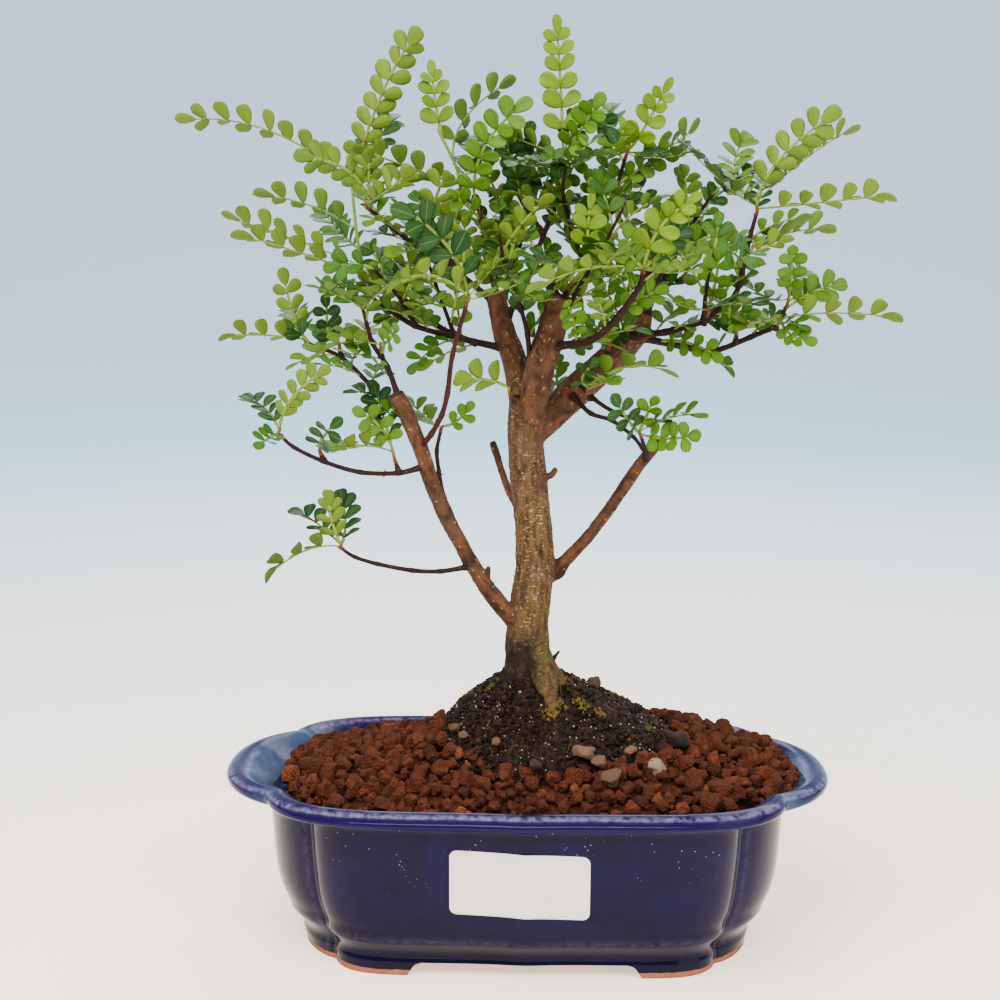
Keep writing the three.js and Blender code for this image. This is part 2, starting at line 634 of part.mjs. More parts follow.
// A plate of even thickness on a middle surface of points with a normal at each.
function plate(points, normals, faces, thickness) {
  const count = points.length;
  const side = (sign) => points.map((point, i) => {
    return point.clone().addScaledVector(normals[i], (sign * thickness) / 2).toArray();
  });
  const triangles = [];
  const edges = new Map();
  faces.forEach(([a, b, c]) => {
    triangles.push([a, b, c], [count + a, count + c, count + b]);
    [[a, b], [b, c], [c, a]].forEach(([from, to]) => {
      if (edges.has(`${to}_${from}`)) {
        edges.delete(`${to}_${from}`);
      } else {
        edges.set(`${from}_${to}`, [from, to]);
      }
    });
  });
  edges.forEach(([from, to]) => {
    triangles.push([from, count + from, count + to], [from, count + to, to]);
  });
  return geometryFrom([...side(1), ...side(-1)], triangles);
}

// Pot

// The wall's outline at one level: pointed-bracket long sides between grooves, and round end lobes.
function outline(level, inset = 0) {
  const end = level.end - inset;
  const grooveX = level.grooveX - inset;
  const grooveY = level.grooveY - inset;
  const side = level.side - inset;
  const squareness = level.square;
  const quarter = SIDE_STATIONS.map((share) => {
    const bulge = (1 - share ** squareness) ** (1 / SIDE_FULLNESS);
    const x = grooveX * share;
    const point = POT.ridge * Math.exp(-x / POT.ridgeReach);
    return [x, grooveY + (side - grooveY) * bulge + point];
  });
  const lobe = LOBE_STATIONS.map((share) => {
    const bulge = (1 - Math.abs(share) ** LOBE_SQUARENESS) ** LOBE_FULLNESS;
    return [grooveX + (end - grooveX) * bulge, grooveY * share];
  });
  const frontRight = quarter.map(([x, y]) => [x, -y]);
  const backRight = quarter.slice(1).reverse().map(([x, y]) => [x, y]);
  const half = [...frontRight, ...lobe, [grooveX, grooveY], ...backRight];
  const otherHalf = half.map(([x, y]) => [-x, -y]);
  return [...half, ...otherHalf].map(([x, y]) => [x, y, level.z]);
}

function blendLevels(levels, z) {
  const above = levels.findIndex((level) => level.z >= z);
  const high = levels[Math.max(above, 1)];
  const low = levels[Math.max(above, 1) - 1];
  const share = (z - low.z) / (high.z - low.z);
  const mix = (key) => low[key] + (high[key] - low[key]) * share;
  return {
    z, end: mix('end'), grooveX: mix('grooveX'), grooveY: mix('grooveY'), side: mix('side'), square: mix('square'),
  };
}

function box(minimum, maximum) {
  const size = maximum.map((value, i) => value - minimum[i]);
  const centre = maximum.map((value, i) => (value + minimum[i]) / 2);
  return solid(new THREE.BoxGeometry(...size).translate(...centre));
}

// A block with sloping sides that cuts the arch between two feet, running along Y.
function archCutter(halfWidth, depthFrom, depthTo) {
  const shape = new THREE.Shape();
  shape.moveTo(-halfWidth - POT.archSplay, -1);
  shape.lineTo(halfWidth + POT.archSplay, -1);
  shape.lineTo(halfWidth, POT.archHeight);
  shape.lineTo(-halfWidth, POT.archHeight);
  const geometry = new THREE.ExtrudeGeometry(shape, { depth: depthTo - depthFrom, bevelEnabled: false });
  geometry.rotateX(Math.PI / 2).translate(0, depthTo, 0);
  return geometry;
}

function buildPot() {
  const outer = solid(loft(OUTER_LEVELS.map((level) => outline(level))));
  const rim = INNER_LEVELS[INNER_LEVELS.length - 1];
  const mouth = {
    z: rim.z + OPENING_RISE,
    end: rim.end + MOUTH_FLARE.end,
    grooveX: rim.grooveX + MOUTH_FLARE.grooveX,
    grooveY: rim.grooveY,
    side: rim.side + MOUTH_FLARE.side,
    square: rim.square,
  };
  const inner = solid(loft([...INNER_LEVELS, mouth].map((level) => outline(level))));
  const below = { ...OUTER_LEVELS[0], z: -1 };
  const recess = solid(loft([
    outline(below, POT.ringWidth),
    outline({ ...below, z: POT.recessTop }, POT.ringWidth),
  ]));
  const reach = OUTER_LEVELS[OUTER_LEVELS.length - 1].end;
  const longArch = solid(archCutter(POT.archHalfLong, -reach, reach));
  const endArch = solid(archCutter(POT.archHalfEnd, -reach, reach).rotateZ(Math.PI / 2));
  let body = outer.subtract(inner).subtract(recess).subtract(longArch).subtract(endArch);
  [-POT.drainX, POT.drainX].forEach((x) => {
    const drill = new THREE.CylinderGeometry(POT.drainRadius, POT.drainRadius, 2 * POT.floorTop, 14);
    drill.rotateX(Math.PI / 2).translate(x, 0, POT.floorTop);
    body = body.subtract(solid(drill));
  });
  return body;
}

// A square of coarse plastic mesh over one drain hole.
function buildDrainMesh(x) {
  const { side, thickness, hole, pitch, holesPerSide } = DRAIN_MESH;
  const low = POT.floorTop + GAP;
  let sheet = box([x - side / 2, -side / 2, low], [x + side / 2, side / 2, low + thickness]);
  const middle = (holesPerSide - 1) / 2;
  for (let row = 0; row < holesPerSide; row += 1) {
    for (let column = 0; column < holesPerSide; column += 1) {
      const holeX = x + (column - middle) * pitch;
      const holeY = (row - middle) * pitch;
      sheet = sheet.subtract(box(
        [holeX - hole / 2, holeY - hole / 2, low - thickness],
        [holeX + hole / 2, holeY + hole / 2, low + 2 * thickness],
      ));
    }
  }
  return sheet;
}

// The blank sticker follows the front wall, bent over its middle ridge.
function buildLabel() {
  const { left, right, low, high, tilt, corner, thickness } = LABEL;
  const halves = SIDE_STATIONS.flatMap((share) => [share, -share]);
  const stations = [...new Set(halves)].map((share) => share * OUTER_LEVELS[LABEL.level].grooveX);
  const inside = stations.filter((x) => x > left + corner && x < right - corner);
  const bevel = corner * LABEL.bevel;
  const columns = [
    { x: left, cut: corner }, { x: left + bevel, cut: bevel }, { x: left + corner, cut: 0 },
    ...inside.map((x) => ({ x, cut: 0 })),
    { x: right - corner, cut: 0 }, { x: right - bevel, cut: bevel }, { x: right, cut: corner },
  ].sort((a, b) => a.x - b.x);
  const wallDepth = (x, z) => {
    const ring = outline(blendLevels(OUTER_LEVELS, z)).filter(([, y]) => y < 0).sort((a, b) => a[0] - b[0]);
    const next = ring.findIndex((p) => p[0] >= x);
    const a = ring[next - 1];
    const b = ring[next];
    return a[1] + ((b[1] - a[1]) * (x - a[0])) / (b[0] - a[0]);
  };
  const out = vec(LABEL.faces).normalize();
  const points = [];
  const normals = [];
  const faces = [];
  columns.forEach(({ x, cut }, i) => {
    [low + cut, high - cut].forEach((level) => {
      const z = level - tilt * (x - (left + right) / 2);
      points.push(new THREE.Vector3(x, wallDepth(x, z) - SKIN - thickness / 2, z));
      normals.push(out);
    });
    if (i > 0) {
      const a = 2 * (i - 1);
      faces.push([a, a + 2, a + 3], [a, a + 3, a + 1]);
    }
  });
  return solid(plate(points, normals, faces, thickness));
}

// Soil

// The root ball's outline: an oval with its own reach on each side of the trunk.
function rootBallEdge(turn, grow = 0) {
  const x = Math.cos(turn);
  const y = Math.sin(turn);
  const halfX = x < 0 ? ROOT_BALL.left : ROOT_BALL.right;
  const halfY = y < 0 ? ROOT_BALL.front : ROOT_BALL.back;
  return [x * (halfX + grow), y * (halfY + grow)];
}

function rootBallRing(z, grow, share = 1) {
  return Array.from({ length: ROOT_BALL.segments }, (_, i) => {
    const [x, y] = rootBallEdge((2 * Math.PI * i) / ROOT_BALL.segments, grow);
    return [x * share, y * share, z];
  });
}

function leaning([x, y, z]) {
  return [x, y, z + ROOT_BALL.leanX * x + ROOT_BALL.leanY * y];
}

// The gravel's surface rises from the rim to the root ball, with a lump at each grid point.
function buildGravel() {
  const random = randomStream(GRAVEL.seed);
  const walls = [POT.floorTop + GAP, ...INNER_LEVELS.slice(1, 3).map((level) => level.z), GRAVEL.edgeZ]
    .map((z) => outline(blendLevels(INNER_LEVELS, z), SKIN));
  const low = walls.pop();
  const high = outline(blendLevels(INNER_LEVELS, GRAVEL.edgeZ + GRAVEL.edgeRise), SKIN);
  const edge = low.map((point, i) => {
    const share = (Math.max(0, point[0]) / GRAVEL.riseEndX) ** 1.5;
    return point.map((value, axis) => value + (high[i][axis] - value) * share);
  });
  walls.push(edge);
  const surface = [];
  for (let ring = 1; ring <= GRAVEL.rings; ring += 1) {
    const share = 1 - ring / (GRAVEL.rings + 1);
    surface.push(edge.map(([x, y, z]) => {
      const climb = Math.min(1, (1 - share) * GRAVEL.slope) ** GRAVEL.bulge;
      const lump = GRAVEL.grain * (random() - GRAVEL.sunk);
      const away = Math.hypot(x * share - GRAVEL.heapX, y * share - GRAVEL.heapY) / GRAVEL.heapReach;
      const heap = GRAVEL.heapRise * Math.exp(-away * away);
      return [x * share, y * share, z + (GRAVEL.innerZ - z) * climb + lump + heap];
    }));
  }
  const bed = solid(loft([...walls, ...surface]));
  const pit = solid(loft([rootBallRing(0, SKIN), rootBallRing(ROOT_BALL.crownZ, SKIN)]));
  let gravel = bed.subtract(pit);
  const reach = DRAIN_MESH.side / 2 + GAP;
  const above = POT.floorTop + 2 * GAP + DRAIN_MESH.thickness;
  [-POT.drainX, POT.drainX].forEach((x) => {
    gravel = gravel.subtract(box([x - reach, -reach, 0], [x + reach, reach, above]));
  });
  return gravel;
}

function buildRootBall() {
  const random = randomStream(ROOT_BALL.seed);
  const rings = [
    rootBallRing(POT.floorTop + GAP, 0),
    rootBallRing(ROOT_BALL.edgeZ - ROOT_BALL.shoulder, 0).map(leaning),
  ];
  for (let ring = 0; ring <= ROOT_BALL.rings; ring += 1) {
    const share = 1 - ring / (ROOT_BALL.rings + ROOT_BALL.flatTop);
    const rise = (ROOT_BALL.crownZ - ROOT_BALL.edgeZ) * (1 - share);
    rings.push(rootBallRing(0, 0, share * (ring === 0 ? ROOT_BALL.shoulderShare : 1))
      .map(([x, y]) => leaning([x, y, ROOT_BALL.edgeZ + rise + ROOT_BALL.grain * (random() - 0.5)])));
  }
  const ball = solid(loft(rings));
  const reach = DRAIN_MESH.side / 2 + GAP;
  const above = POT.floorTop + 2 * GAP + DRAIN_MESH.thickness;
  const meshRoom = (x) => box([x - reach, -reach, 0], [x + reach, reach, above]);
  const stump = LIMBS[0].line.slice(0, 4).map(([x, y, z, radius], i) => {
    return [x, y, i === 0 ? z - ROOT_HOLE_AIR : z, radius + ROOT_HOLE_AIR];
  });
  return ball.subtract(meshRoom(-POT.drainX)).subtract(meshRoom(POT.drainX))
    .subtract(solid(taperedTube(stump, LIMBS[0].sides)));
}

// Wood

function buildWood() {
  const limbs = LIMBS.map(({ line, sides }) => solid(taperedTube(line, sides)));
  const spurs = SPURS.map(({ root, tip }) => {
    return solid(taperedTube([[...root, SPUR_RADIUS * 1.15], [...tip, SPUR_RADIUS]], SPUR_SIDES));
  });
  return wasm.Manifold.union([...limbs, ...spurs]);
}

// The end of every limb and spur: where it is and which way it points.
const TWIG_TIPS = [
  ...LIMBS.map(({ line }) => [line[line.length - 2], line[line.length - 1]]),
  ...SPURS.map(({ root, tip }) => [root, tip]),
].map(([from, to]) => ({ point: vec(to), way: vec(to).sub(vec(from)).normalize() }));

// Leafy stems

const STEM = { rootRadius: 0.85, tipRadius: 0.6, sides: 4, straight: 0.8, lastLeafAt: 0.88 };

function stemLine(stem) {
  const foot = vec(stem[0]);
  const twig = TWIG_TIPS.reduce((best, tip) => {
    return tip.point.distanceTo(foot) < best.point.distanceTo(foot) ? tip : best;
  });
  const start = twig.point.clone().addScaledVector(twig.way, SKIN);
  return [start, start.clone().addScaledVector(twig.way, STEM.straight), ...stem.slice(1).map(vec)];
}

// A compound leaf: one arched blade cut to its rib between leaflets, with a leaflet at its tip.
function buildLeaf(base, [, mid, tip, pairs, face, leafletLength]) {
  const middle = vec(mid);
  const end = vec(tip);
  const bend = middle.clone().multiplyScalar(2).sub(base.clone().add(end).multiplyScalar(0.5));
  const rib = new THREE.QuadraticBezierCurve3(base, bend, end);
  const reach = rib.getLength();
  const length = leafletLength ?? Math.min(LEAF.longest, LEAF.baseLength + LEAF.lengthShare * reach);
  const tipLength = Math.min(length, LEAF.tipShare * reach);
  const neckShare = 1 - tipLength / reach;
  const shownPairs = Math.max(1, SHOWN_PAIRS[pairs] - (face === UP ? 1 : 0));
  const pitch = (neckShare - LEAF.firstNotch) / shownPairs;
  const width = Math.min(length * LEAF.plumpness, pitch * reach * LEAF.fill);
  const frame = (share) => {
    const way = rib.getTangentAt(share);
    const up = vec(face).sub(way.clone().multiplyScalar(vec(face).dot(way))).normalize();
    return { point: rib.getPointAt(share), way, up, across: way.clone().cross(up) };
  };
  const points = [];
  const normals = [];
  const faces = [];
  const add = (point, normal) => {
    points.push(point);
    normals.push(normal);
    return points.length - 1;
  };
  // A station is a pair of points on the rib's two edges.
  const station = (share, halfWidth = LEAF.ribHalfWidth) => {
    const { point, up, across } = frame(share);
    const edge = (sign) => add(point.clone().addScaledVector(across, sign * halfWidth), up);
    return [edge(1), edge(-1)];
  };
  const joinStations = ([rightA, leftA], [rightB, leftB]) => {
    faces.push([leftA, rightA, rightB], [leftA, rightB, leftB]);
  };
  const leaflet = (share, sign, rootBack, rootFront) => {
    const { point, way, up, across } = frame(share);
    const outward = across.clone().multiplyScalar(sign * Math.cos(degrees(LEAF.lift)))
      .addScaledVector(up, Math.sin(degrees(LEAF.lift)));
    const along = outward.clone().multiplyScalar(Math.sin(degrees(LEAF.spread)))
      .addScaledVector(way, Math.cos(degrees(LEAF.spread)));
    const forward = way.clone().multiplyScalar(Math.sin(degrees(LEAF.spread)))
      .addScaledVector(outward, -Math.cos(degrees(LEAF.spread)));
    const normal = forward.clone().cross(along).multiplyScalar(-sign);
    const size = length * (1 - LEAF.endsShorter * Math.abs(share - 0.5));
    const [back, front] = LEAF.corners.map(([out, ahead]) => add(point.clone()
      .addScaledVector(along, size * out).addScaledVector(forward, width * ahead), normal));
    if (sign > 0) {
      faces.push([rootFront, rootBack, back], [rootFront, back, front]);
    } else {
      faces.push([rootBack, rootFront, front], [rootBack, front, back]);
    }
  };
  let notch = station(LEAF.firstNotch);
  joinStations(station(0, LEAF.baseHalfWidth), notch);
  for (let pair = 0; pair < shownPairs; pair += 1) {
    const share = LEAF.firstNotch + pair * pitch;
    const next = station(share + pitch);
    joinStations(notch, next);
    leaflet(share + pitch / 2, 1, notch[0], next[0]);
    leaflet(share + pitch / 2, -1, notch[1], next[1]);
    notch = next;
  }
  const { point, way, up, across } = frame(neckShare);
  const tipCorner = (ahead, aside) => add(point.clone().addScaledVector(way, tipLength * ahead)
    .addScaledVector(across, tipLength * aside), up);
  const right = tipCorner(LEAF.tipWidest, LEAF.tipHalfWidth);
  const top = tipCorner(1, 0);
  const left = tipCorner(LEAF.tipWidest, -LEAF.tipHalfWidth);
  faces.push([notch[1], notch[0], right], [notch[1], right, left], [left, right, top]);
  return solid(plate(points, normals, faces, LEAF.thickness));
}

function buildLeafyStem({ stem, leaves }) {
  const line = stemLine(stem);
  const path = line.map((point, i) => {
    const share = i / (line.length - 1);
    return [...point.toArray(), STEM.rootRadius + (STEM.tipRadius - STEM.rootRadius) * share];
  });
  const axis = new THREE.CurvePath();
  for (let i = 1; i + 1 < line.length; i += 1) {
    axis.add(new THREE.LineCurve3(line[i], line[i + 1]));
  }
  const blades = leaves.map((leaf) => buildLeaf(axis.getPointAt(Math.min(leaf[0], STEM.lastLeafAt)), leaf));
  return wasm.Manifold.union([solid(taperedTube(path, STEM.sides)), ...blades]);
}

// Assembly

const NODES = [
  { name: 'pot', build: buildPot, colour: COLOURS.glaze, roughness: 0.15 },
  ...[['left', -1], ['right', 1]].map(([side, sign]) => ({
    name: `drain_mesh_${side}`,
    build: () => buildDrainMesh(sign * POT.drainX),
    colour: COLOURS.drain,
    roughness: 0.6,
  })),
  { name: 'label', build: buildLabel, colour: COLOURS.label, roughness: 0.5 },
  { name: 'clay_gravel', build: buildGravel, colour: COLOURS.gravel, roughness: 0.95 },
  { name: 'root_ball', build: buildRootBall, colour: COLOURS.rootBall, roughness: 0.95 },
  { name: 'wood', build: buildWood, colour: COLOURS.bark, roughness: 0.85 },
  ...LEAFY_STEMS.map((spray) => ({
    name: spray.name,
    build: () => buildLeafyStem(spray),
    colour: COLOURS[spray.tone],
    roughness: 0.5,
  })),
];

const bonsai = new THREE.Group();
NODES.forEach(({ name, build, colour, roughness }) => {
  const material = new THREE.MeshStandardMaterial({ color: colour, roughness, metalness: 0 });
  const mesh = new THREE.Mesh(toGeometry(build()), material);
  mesh.name = name;
  bonsai.add(mesh);
});

// The footprint's middle goes to the origin.
const footprint = new THREE.Box3().setFromObject(bonsai).getCenter(new THREE.Vector3());
bonsai.position.set(-footprint.x, -footprint.y, 0);
const model = new THREE.Group();
model.add(bonsai);

export default model;
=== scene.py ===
"""A chinese pepper bonsai in its glazed pot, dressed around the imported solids.

The solids give every place and size. This script replaces the pot, the soil, the wood and each
leafy stem with finer pieces of the same form, gives all of them their finishes, and adds the
small things that lie on the soil. Tables are in millimetres in the pot's own frame, whose
origin is the middle of the pot's base.
"""
import logging
import math
import random
from dataclasses import dataclass, field
from enum import Enum
from itertools import cycle
from typing import Callable, Iterable, Optional, Sequence, Union

import bmesh
import bpy
import numpy as np
from mathutils import Euler, Matrix, Vector, noise


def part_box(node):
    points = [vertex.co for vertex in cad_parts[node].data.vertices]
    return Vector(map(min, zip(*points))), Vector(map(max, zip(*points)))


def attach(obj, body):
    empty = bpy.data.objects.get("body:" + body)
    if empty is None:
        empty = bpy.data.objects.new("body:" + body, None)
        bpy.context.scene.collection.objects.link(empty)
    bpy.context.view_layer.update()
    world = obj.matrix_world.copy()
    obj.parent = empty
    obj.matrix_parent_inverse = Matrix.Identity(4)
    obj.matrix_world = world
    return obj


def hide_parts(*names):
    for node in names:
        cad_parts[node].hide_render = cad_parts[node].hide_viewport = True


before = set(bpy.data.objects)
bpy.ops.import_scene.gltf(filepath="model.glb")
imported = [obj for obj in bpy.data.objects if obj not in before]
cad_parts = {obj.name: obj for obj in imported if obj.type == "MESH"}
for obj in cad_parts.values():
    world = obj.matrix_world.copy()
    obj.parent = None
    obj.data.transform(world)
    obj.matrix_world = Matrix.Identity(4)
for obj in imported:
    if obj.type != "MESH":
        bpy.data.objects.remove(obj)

LOG = logging.getLogger("bonsai")
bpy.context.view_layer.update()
MM = 0.001
POT_LOW, POT_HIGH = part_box("pot")
SHIFT = np.array([(POT_LOW[0] + POT_HIGH[0]) / 2, (POT_LOW[1] + POT_HIGH[1]) / 2, 0.0])
BODY = "root"

Colour = tuple[float, float, float]
Point = tuple[float, float, float]
Amount = Union[float, np.ndarray]
Number = Union[float, "Value"]
Piece = bpy.types.Object
Mesh = bpy.types.Mesh
Material = bpy.types.Material


def srgb(red: int, green: int, blue: int) -> Colour:
    """Return a screen colour as the linear values that shaders take."""
    def linear(part: int) -> float:
        """Return one channel's linear value."""
        share = part / 255
        return share / 12.92 if share <= 0.04045 else ((share + 0.055) / 1.055) ** 2.4
    return linear(red), linear(green), linear(blue)


# Shader maths

class Value:
    """A node's output socket that can be used in arithmetic."""

    def __init__(self, graph: "NodeGraph", socket: Optional[bpy.types.NodeSocket]) -> None:
        """Keep the socket and the graph that it is in."""
        self.graph = graph
        self.socket = socket

    def _math(self, operation: str, *terms: Number) -> "Value":
        """Return a Math node's result for the terms."""
        return self.graph.node("ShaderNodeMath", {"operation": operation}, dict(enumerate(terms)))

    def __add__(self, other: Number) -> "Value":
        """Return self + other."""
        return self._math("ADD", self, other)

    __radd__ = __add__

    def __sub__(self, other: Number) -> "Value":
        """Return self - other."""
        return self._math("SUBTRACT", self, other)

    def __rsub__(self, other: Number) -> "Value":
        """Return other - self."""
        return self._math("SUBTRACT", other, self)

    def __mul__(self, other: Number) -> "Value":
        """Return self * other."""
        return self._math("MULTIPLY", self, other)

    __rmul__ = __mul__

    def magnitude(self) -> "Value":
        """Return the value without its sign."""
        return self._math("ABSOLUTE", self)

    def larger(self, other: Number) -> "Value":
        """Return the larger of the two."""
        return self._math("MAXIMUM", self, other)

    def wave(self) -> "Value":
        """Return the value's sine."""
        return self._math("SINE", self)

    def step(self, low: float, high: float) -> "Value":
        """Return a smooth step from 0 at low to 1 at high, or the other way where low is the larger."""
        inputs = {"Value": self, "From Min": low, "From Max": high}
        return self.graph.node("ShaderNodeMapRange", {"interpolation_type": "SMOOTHSTEP"}, inputs)


class NodeGraph:
    """A material under construction."""

    def __init__(self, name: str) -> None:
        """Start a material with only its output node."""
        self.material = bpy.data.materials.new(name)
        self.material.use_nodes = True
        self.tree = self.material.node_tree
        self.tree.nodes.clear()

    def node(self, kind: str, settings: Optional[dict] = None, inputs: Optional[dict] = None,
             output: Union[int, str] = 0) -> Value:
        """Add a node.

        Args:
            kind: The node's type.
            settings: Its properties, set first; a ramp's stops are under "stops".
            inputs: Values or links by socket name or number.
            output: Which output to return.

        Returns:
            The chosen output.
        """
        made = self.tree.nodes.new(kind)
        for key, setting in (settings or {}).items():
            if key == "stops":
                ramp = made.color_ramp
                while len(ramp.elements) < len(setting):
                    ramp.elements.new(0.5)
                for element, (position, colour) in zip(ramp.elements, setting):
                    element.position = position
                    element.color = (*colour, 1.0)
            else:
                setattr(made, key, setting)
        for key, value in (inputs or {}).items():
            socket = made.inputs[key]
            if isinstance(value, Value):
                self.tree.links.new(value.socket, socket)
            elif isinstance(value, tuple) and socket.type == "RGBA":
                socket.default_value = (*value, 1.0)
            else:
                socket.default_value = value
        return Value(self, made.outputs[output] if made.outputs else None)

    def place(self, stretch: Point = (1.0, 1.0, 1.0)) -> Value:
        """Return the point on the object, in metres, times the stretch."""
        return self.scaled(self.node("ShaderNodeTexCoord", output="Object"), stretch)

    def scaled(self, vector: Value, stretch: Point) -> Value:
        """Return the vector times the stretch, part by part."""
        return self.node("ShaderNodeVectorMath", {"operation": "MULTIPLY"}, {0: vector, 1: stretch})

    def part(self, vector: Value, axis: str) -> Value:
        """Return the X, Y or Z part of a vector."""
        return self.node("ShaderNodeSeparateXYZ", inputs={0: vector}, output=axis)

    def stored(self, name: str) -> Value:
        """Return a value that the mesh stores at its points or faces."""
        return self.node("ShaderNodeAttribute", {"attribute_name": name}, output="Fac")

    def clouds(self, size: float, detail: float, vector: Optional[Value] = None, distortion: float = 0.0) -> Value:
        """Return noise from 0 to 1 whose features are about size metres across."""
        inputs = {"Vector": vector or self.place(), "Scale": 1 / size, "Detail": detail,
                  "Roughness": 0.6, "Distortion": distortion}
        return self.node("ShaderNodeTexNoise", inputs=inputs)

    def cells(self, size: float, vector: Optional[Value] = None, output: str = "Distance") -> Value:
        """Return the distance to, or the random colour of, the nearest of points size metres apart."""
        inputs = {"Vector": vector or self.place(), "Scale": 1 / size}
        return self.node("ShaderNodeTexVoronoi", inputs=inputs, output=output)

    def mix(self, share: Number, first: Union[Value, Colour], second: Union[Value, Colour]) -> Value:
        """Return a mix of two colours, all first at share 0 and all second at 1."""
        return self.node("ShaderNodeMix", {"data_type": "RGBA"}, {0: share, 6: first, 7: second}, output=2)

    def over(self, colour: Union[Value, Colour], *layers: tuple[Number, Union[Value, Colour]]) -> Value:
        """Return the colour with each layer, a share and another colour, laid over it in turn."""
        for share, layer in layers:
            colour = self.mix(share, colour, layer)
        return colour

    def ramp(self, share: Value, stops: Sequence[tuple[float, Colour]]) -> Value:
        """Return a colour from a ramp."""
        return self.node("ShaderNodeValToRGB", {"stops": stops}, {0: share})

    def relief(self, height: Value, depth: float, strength: float = 1.0, under: Optional[Value] = None) -> Value:
        """Return a normal bumped by a height from 0 to 1 that stands for depth metres."""
        inputs = {"Strength": strength, "Distance": depth, "Height": height}
        if under is not None:
            inputs["Normal"] = under
        return self.node("ShaderNodeBump", inputs=inputs)

    def finish(self, colour: Value, rough: Number, normal: Optional[Value], specular: float = 0.5,
               glow: float = 0.0) -> Material:
        """Close the material with a Principled shader.

        Args:
            colour: Its base colour.
            rough: Its roughness.
            normal: Its bumped normal, if it has one.
            specular: Its specular level.
            glow: How strongly it gives light of its own colour.

        Returns:
            The material.
        """
        inputs = {"Base Color": colour, "Roughness": rough, "Specular IOR Level": specular}
        if normal is not None:
            inputs["Normal"] = normal
        if glow:
            inputs.update({"Emission Color": colour, "Emission Strength": glow})
        surface = self.node("ShaderNodeBsdfPrincipled", inputs=inputs)
        self.node("ShaderNodeOutputMaterial", inputs={"Surface": surface})
        return self.material


# Finishes

@dataclass(frozen=True)
class Glaze:
    """Deep cobalt glaze: mottled, pinholed, thin on its edges, with painted shade low, painted highlights and a
    painted reflection in the dished lip.
    """

    name: str = "cobalt_glaze"
    deep: Colour = srgb(11, 7, 36)
    full: Colour = srgb(14, 10, 48)
    # Painted shade: the lower wall darkens toward the foot.
    foot: Colour = srgb(5, 3, 16)
    lip: Colour = srgb(20, 9, 55)
    # Painted reflection of the pale surroundings on the dished lip.
    dish: Colour = srgb(62, 78, 106)
    # Pale where the glaze runs thin on edges, and painted highlights along the lip's crest, the crease and the
    # grooves.
    thin: Colour = srgb(142, 134, 176)
    pinhole: Colour = srgb(30, 20, 22)
    speck: Colour = srgb(190, 190, 205)
    chip: Colour = srgb(120, 84, 70)
    clay: Colour = srgb(158, 100, 72)
    clay_dark: Colour = srgb(116, 68, 48)
    bare_height: float = 0.0024

    def material(self) -> Material:
        """Return the glaze's material, with bare fired clay under the feet."""
        graph = NodeGraph(self.name)
        height = graph.part(graph.place(), "Z")
        cloud = graph.clouds(0.022, 5.0, distortion=0.6)
        runs = graph.clouds(0.006, 4.0, graph.place((1.0, 1.0, 0.16)))
        # edge carries the thin glaze and the painted highlight lines.
        edge = graph.stored("thin") * graph.clouds(0.0025, 4.0).step(0.3, 0.62)
        kept = graph.part(graph.cells(0.0042, output="Color"), "X").step(0.9, 0.91)
        holes = graph.cells(0.0042).step(0.085, 0.055) * kept
        dusty = graph.part(graph.cells(0.0014, output="Color"), "Y").step(0.78, 0.79)
        band = height.step(0.030, 0.046) * height.step(0.0535, 0.051)
        chips = graph.stored("thin") * graph.clouds(0.0035, 5.0, graph.place((0.8, 0.8, 1.0))).step(0.7, 0.74)
        fired = graph.mix(graph.clouds(0.004, 5.0), self.clay_dark, self.clay)
        ragged = height + graph.clouds(0.007, 4.0) * -0.0012
        bare = ragged.step(self.bare_height - 0.0008, self.bare_height - 0.0011).larger(graph.stored("bare"))
        colour = graph.over(
            # The foot layer is painted shade, darkening the wall below about 28 mm.
            self.deep, (cloud.step(0.32, 0.7), self.full), (height.step(0.028, 0.01) * 0.55, self.foot),
            (runs.step(0.55, 0.8) * 0.5, self.full), (height.step(0.0522, 0.0542), self.lip),
            # The dish layer is a painted reflection; the thin layer is part thin glaze, part painted highlight.
            (graph.stored("dish") * graph.clouds(0.016, 3.0).step(0.2, 0.75), self.dish), (edge * 0.6, self.thin),
            (holes, self.pinhole), (graph.cells(0.0014).step(0.13, 0.08) * dusty * (band * 0.7 + 0.05), self.speck),
            (chips, self.chip), (bare, fired))
        shine = graph.clouds(0.012, 4.0) * 0.1 + 0.07 + edge * 0.1 + bare * 0.7
        peel = graph.relief(graph.clouds(0.0032, 2.0), 0.00004)
        normal = graph.relief(1.0 - holes, 0.0002, 0.6, under=peel)
        return graph.finish(colour, shine, normal, 0.11)


@dataclass(frozen=True)
class Grains:
    """Baked clay grains: a shade for each grain, crumbly and dusty."""

    name: str = "clay_grains"
    dark: Colour = srgb(50, 25, 17)
    brown: Colour = srgb(78, 38, 23)
    red: Colour = srgb(97, 48, 27)
    orange: Colour = srgb(142, 78, 42)

    def material(self) -> Material:
        """Return the grains' material."""
        graph = NodeGraph(self.name)
        colour = graph.ramp(graph.stored("shade"), [
            (0.0, self.dark), (0.3, self.brown), (0.78, self.red), (1.0, self.orange)])
        crumb, pits = graph.clouds(0.0011, 6.0), graph.cells(0.0007)
        colour = graph.over(
            graph.mix(0.62, colour, self.dark), (crumb.step(0.38, 0.68), colour),
            (pits.step(0.2, 0.05) * 0.55, self.dark), (graph.clouds(0.004, 5.0).step(0.58, 0.75) * 0.35, self.orange))
        normal = graph.relief(crumb, 0.0009, 1.0, under=graph.relief(pits, 0.0005, 0.9))
        return graph.finish(colour, 0.93, normal, 0.12)


